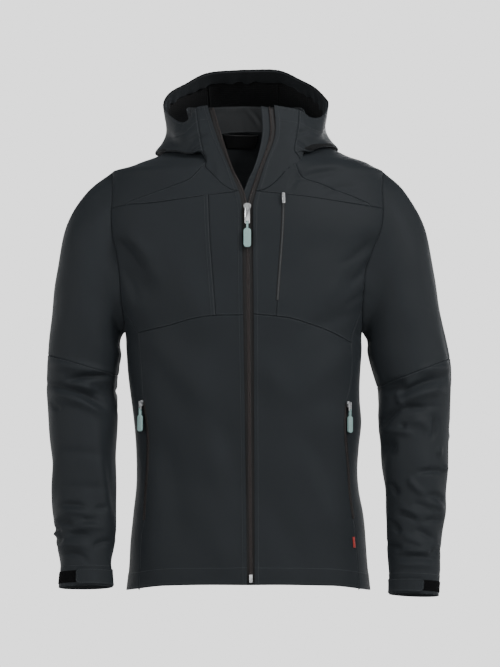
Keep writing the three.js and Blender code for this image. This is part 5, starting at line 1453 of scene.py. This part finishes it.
LABEL = table(["z", "left", "right"], [[29, 8, -40], [40, 13, -45], [51, 15, -47]])
label_fit = readings(LABEL, "z")
z = np.linspace(29, 51, 10)[:, None]
x = mix(label_fit["left"](z), label_fit["right"](z), np.linspace(0, 1, 18)[None])
points, normals = body_surface(turn_at_x(x, z + 0 * x, True), z + 0 * x, -1.6 - 0.5)
label_cloth = cloth("neck_label_cloth", points, normals, face=TRIM, back=TRIM, wall=0.8,
                    nodes=["neck_label"])

# %% [markdown]
# A cuff tab is a strip with a rounded free end. It is lifted there, since it lies over the strip
# of hooks, and comes down to the sleeve where it is sewn in.

# %% Cuff tabs and their fasteners
TAB = {"top": 13.34, "foot": 13.94, "from": 204, "to": 74, "rounding": 0.2, "width": 24.0, "cell": 1.6}
TAB_BODY = 0.93  # the share of the tab before its rounded end
PATCH = {"top": 13.42, "foot": 13.86, "from": 100, "to": -28, "lift": 1.65}
tab_lift = reading(table(["turn", "lift"], [[74, 2.1], [104, 2.1], [122, 0.8], [204, 0.8]]),
                   "turn", "lift")
for side in (RIGHT, LEFT):
    letter = LETTER[side]
    turns = np.linspace(PATCH["from"], PATCH["to"], 60)
    at = np.linspace(PATCH["top"], PATCH["foot"], 12)[:, None] + 0 * turns[None]
    points, normals = arm_surface(side, at, turns[None])
    points = points + normals * PATCH["lift"]
    cloth(
        "cuff_patch_" + letter + "_cloth", points, normals, face=LOOPS, back=TRIM, wall=0.9,
        nodes=["cuff_patch_" + letter])
    share = np.concatenate([np.linspace(0, TAB_BODY, 56), np.linspace(TAB_BODY + 0.015, 1, 6)])
    turns = mix(TAB["from"], TAB["to"], share)
    end = np.clip((share - TAB_BODY) / (1 - TAB_BODY), 0, 1)
    drawn = TAB["rounding"] * (1 - np.sqrt(1 - end ** 2 * 0.96))
    v = spread(TAB["width"], TAB["cell"], "free", "free")[:, None]
    at = mix(TAB["top"] + drawn[None], TAB["foot"] - drawn[None], v)
    points, normals = arm_surface(side, at, turns[None] + 0 * at)
    points = points + normals * (tab_lift(turns) + TRIM_WALL)[None, :, None]
    points = finish_edges(points, normals, {"bottom": "free", "top": "free", "start": "raw",
                                            "end": "free"}, pucker=0.1)
    cloth(
        "cuff_tab_" + letter + "_cloth", points, normals, wall=TRIM_WALL,
        nodes=["cuff_tab_" + letter])

# %% [markdown]
# ## Stitches
# Every finished edge left its rows behind as lines, so the stitches can be laid in one go: short
# beads of thread, one every three millimetres, half sunk into the cloth.

# %% Stitching
STITCH_PITCH, STITCH = 3.1, (1.2, 0.24, 0.22)
gathered = [[], [], []]
for points, normals in stitch_runs:
    if np.linalg.norm(np.diff(points, axis=0), axis=1).sum() > 12:
        for store, values in zip(gathered, evenly(points, normals, STITCH_PITCH)):
            store.append(values)
at, along, way = (np.concatenate(values) for values in gathered)
thread_form = bead(5, (-1.0, -0.6, 0.6, 1.0), (0.05, 1.0, 1.0, 0.05))
copies("stitching", thread_form, at, (along, np.cross(way, along), way), STITCH, THREAD,
       0.12)
print(len(at), "stitches")

# %% [markdown]
# ## Metal and rubber
# The sliders and pulls are hard parts whose form the frame already holds to the tenth of a
# millimetre. Their meshes are copied and only their edges rounded, since a die-cast edge always
# has a small radius and catches a line of light.

# %% Sliders, rings and grips
def softened(node, body, material, slot, width, cuts=0):
    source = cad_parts[node]
    thing = bpy.data.objects.new(node + "_part", source.data.copy())
    bpy.context.scene.collection.objects.link(thing)
    thing.data.materials.clear()
    thing.data.materials.append(material)
    weld = thing.modifiers.new("weld", "WELD")
    weld.merge_threshold = 0.00001
    if cuts:
        fine = thing.modifiers.new("fine", "SUBSURF")
        fine.subdivision_type, fine.levels, fine.render_levels = "SIMPLE", cuts, cuts
    bevel = thing.modifiers.new("bevel", "BEVEL")
    bevel.width, bevel.segments, bevel.limit_method = width / 1000, 3, "ANGLE"
    bevel.angle_limit = math.radians(35)
    evaluated = thing.evaluated_get(bpy.context.evaluated_depsgraph_get())
    mesh = bpy.data.meshes.new_from_object(evaluated)
    thing.modifiers.clear()
    thing.data = mesh
    mesh.polygons.foreach_set("use_smooth", np.full(len(mesh.polygons), True))
    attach(thing, body)
    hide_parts(node)
    return thing


def give_waist(thing, profile):
    """Narrows a part by height, so that a plain block gets the outline of a cast slider."""
    mesh = thing.data
    corners = np.zeros(len(mesh.vertices) * 3)
    mesh.vertices.foreach_get("co", corners)
    corners = corners.reshape(-1, 3)
    low, high = corners.min(0), corners.max(0)
    share = (corners[:, 2] - low[2]) / (high[2] - low[2])
    middle = (low[0] + high[0]) / 2
    corners[:, 0] = middle + (corners[:, 0] - middle) * reading(profile, "share", "girth")(share)
    mesh.vertices.foreach_set("co", corners.ravel())
    mesh.update()


SLIDER_OUTLINE = table(["share", "girth"], [[0, 0.72], [0.3, 0.6], [0.62, 0.92], [0.82, 1], [1, 0.66]])
HARDWARE = table(["node", "body", "material", "slot", "width", "cuts"], [
    ["zip_slider", JACKET, METAL, "metal", 0.3, 2],
    ["zip_pull", "main_pull", METAL, "metal", 0.3],
    ["zip_grip", "main_pull", GRIP, "grip", 0.5],
    ["chest_slider", JACKET, METAL, "metal", 0.25],
    ["chest_pull", "chest_pull_tab", METAL, "metal", 0.2],
    ["pocket_R_slider", JACKET, METAL, "metal", 0.3],
    ["pocket_R_pull", "pocket_pull_R", METAL, "metal", 0.25],
    ["pocket_R_grip", "pocket_pull_R", GRIP, "grip", 0.4],
    ["pocket_L_slider", JACKET, METAL, "metal", 0.3],
    ["pocket_L_pull", "pocket_pull_L", METAL, "metal", 0.25],
    ["pocket_L_grip", "pocket_pull_L", GRIP, "grip", 0.4],
    ["zip_bottom_stop", JACKET, METAL, "metal", 0.3],
])
hardware = {row["node"]: softened(**row) for row in HARDWARE}

give_waist(hardware["zip_slider"], SLIDER_OUTLINE)
print({name: len(thing.data.polygons) for name, thing in hardware.items()})

# %% [markdown]
# The flat size is measured here from the piece itself: its height, and the width that its area
# then asks for.


# %% [markdown]
# ## Light, floor and camera
# The photograph is a catalogue picture: the garment filled out, in even white light that is
# stronger from the camera's right. So a strong soft light stands there, with a weaker one at the
# left and one above, and a last one behind lights the back. A pale floor runs far below.

# %% Stage
def area_light(name, place, target, size, power):
    light = bpy.data.lights.new(name, "AREA")
    light.shape, light.size, light.energy = "DISK", size, power
    thing = bpy.data.objects.new(name, light)
    thing.location = place
    thing.rotation_euler = (Vector(target) - Vector(place)).to_track_quat("-Z", "Y").to_euler()
    bpy.context.scene.collection.objects.link(thing)
    return thing


MIDDLE = (0, 0, -0.3)
LIGHTS = table(["name", "place", "size", "power"], [
    ["right softbox", (2.2, -1.9, 1.5), 0.7, 88],
    ["left softbox", (-2.0, -2.1, 0.7), 0.8, 28],
    ["top light", (0.3, -1.7, 2.2), 0.8, 34],
    ["back light", (0.6, 2.6, 0.6), 1.2, 26],
])
for row in LIGHTS:
    area_light(row["name"], row["place"], MIDDLE, row["size"], row["power"])
print({row["name"]: row["power"] for row in LIGHTS})

FLOOR_Z, FLOOR_HALF = -1.6, 4.4
floor_corners = np.array([[-FLOOR_HALF, -FLOOR_HALF, FLOOR_Z], [FLOOR_HALF, -FLOOR_HALF, FLOOR_Z],
                          [FLOOR_HALF, FLOOR_HALF, FLOOR_Z], [-FLOOR_HALF, FLOOR_HALF, FLOOR_Z]])
floor_material, floor_nodes, floor_links, floor_shader = new_material("pale floor")
floor_place = coordinates(floor_nodes, floor_links, (1, 1, 1))
floor_links.new(two_tones(floor_nodes, floor_links, noise(floor_nodes, floor_links, floor_place, 3),
                          (0.86, 0.86, 0.86), (0.90, 0.90, 0.90)), floor_shader.inputs["Base Color"])
floor_shader.inputs["Roughness"].default_value = 0.9
floor = make_mesh("floor", floor_corners, np.array([[0, 1, 2, 3]]), [floor_material])
floor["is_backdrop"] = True

# The room is brightest at the height of the horizon and dim above and below it, so the
# background stays pale while the lamps alone model the folds.
HORIZON, REST = 1.9, 0.10
world = bpy.data.worlds.new("white room")
world.use_nodes = True
nodes, links = world.node_tree.nodes, world.node_tree.links
direction = nodes.new("ShaderNodeTexCoord").outputs["Generated"]
parts = nodes.new("ShaderNodeSeparateXYZ")
links.new(direction, parts.inputs["Vector"])
height = combine(nodes, links, "ABSOLUTE", parts.outputs["Z"], 0.0)
falloff = nodes.new("ShaderNodeMapRange")
set_sockets(falloff, {"From Min": 0.16, "From Max": 0.24, "To Min": HORIZON, "To Max": REST})
links.new(height, falloff.inputs["Value"])
background = nodes["Background"]
background.inputs["Color"].default_value = (1, 1, 1, 1)
links.new(falloff.outputs["Result"], background.inputs["Strength"])
bpy.context.scene.world = world

# %% [markdown]
# The camera stands as the photographer did: level, straight in front and 3.5 m away, with a long
# lens, so that near and far parts keep their true sizes.

# %% Camera
CAMERA_AWAY, CAMERA_HEIGHT, LENS = 3.5, -0.295, 111.1
camera_data = bpy.data.cameras.new("camera")
camera_data.lens, camera_data.sensor_width = LENS, 36
camera = bpy.data.objects.new("camera", camera_data)
camera.location = (0, -CAMERA_AWAY, CAMERA_HEIGHT)
camera.rotation_euler = (math.radians(90), 0, 0)
bpy.context.scene.collection.objects.link(camera)
bpy.context.scene.camera = camera
print("camera", CAMERA_AWAY, "m in front, lens", LENS, "mm")

# %% [markdown]
# The last cell prints the box round all the parts that render, with the floor left out.

# %% Sizes and finish
low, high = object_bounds()
print("scene box from", low, "to", high)
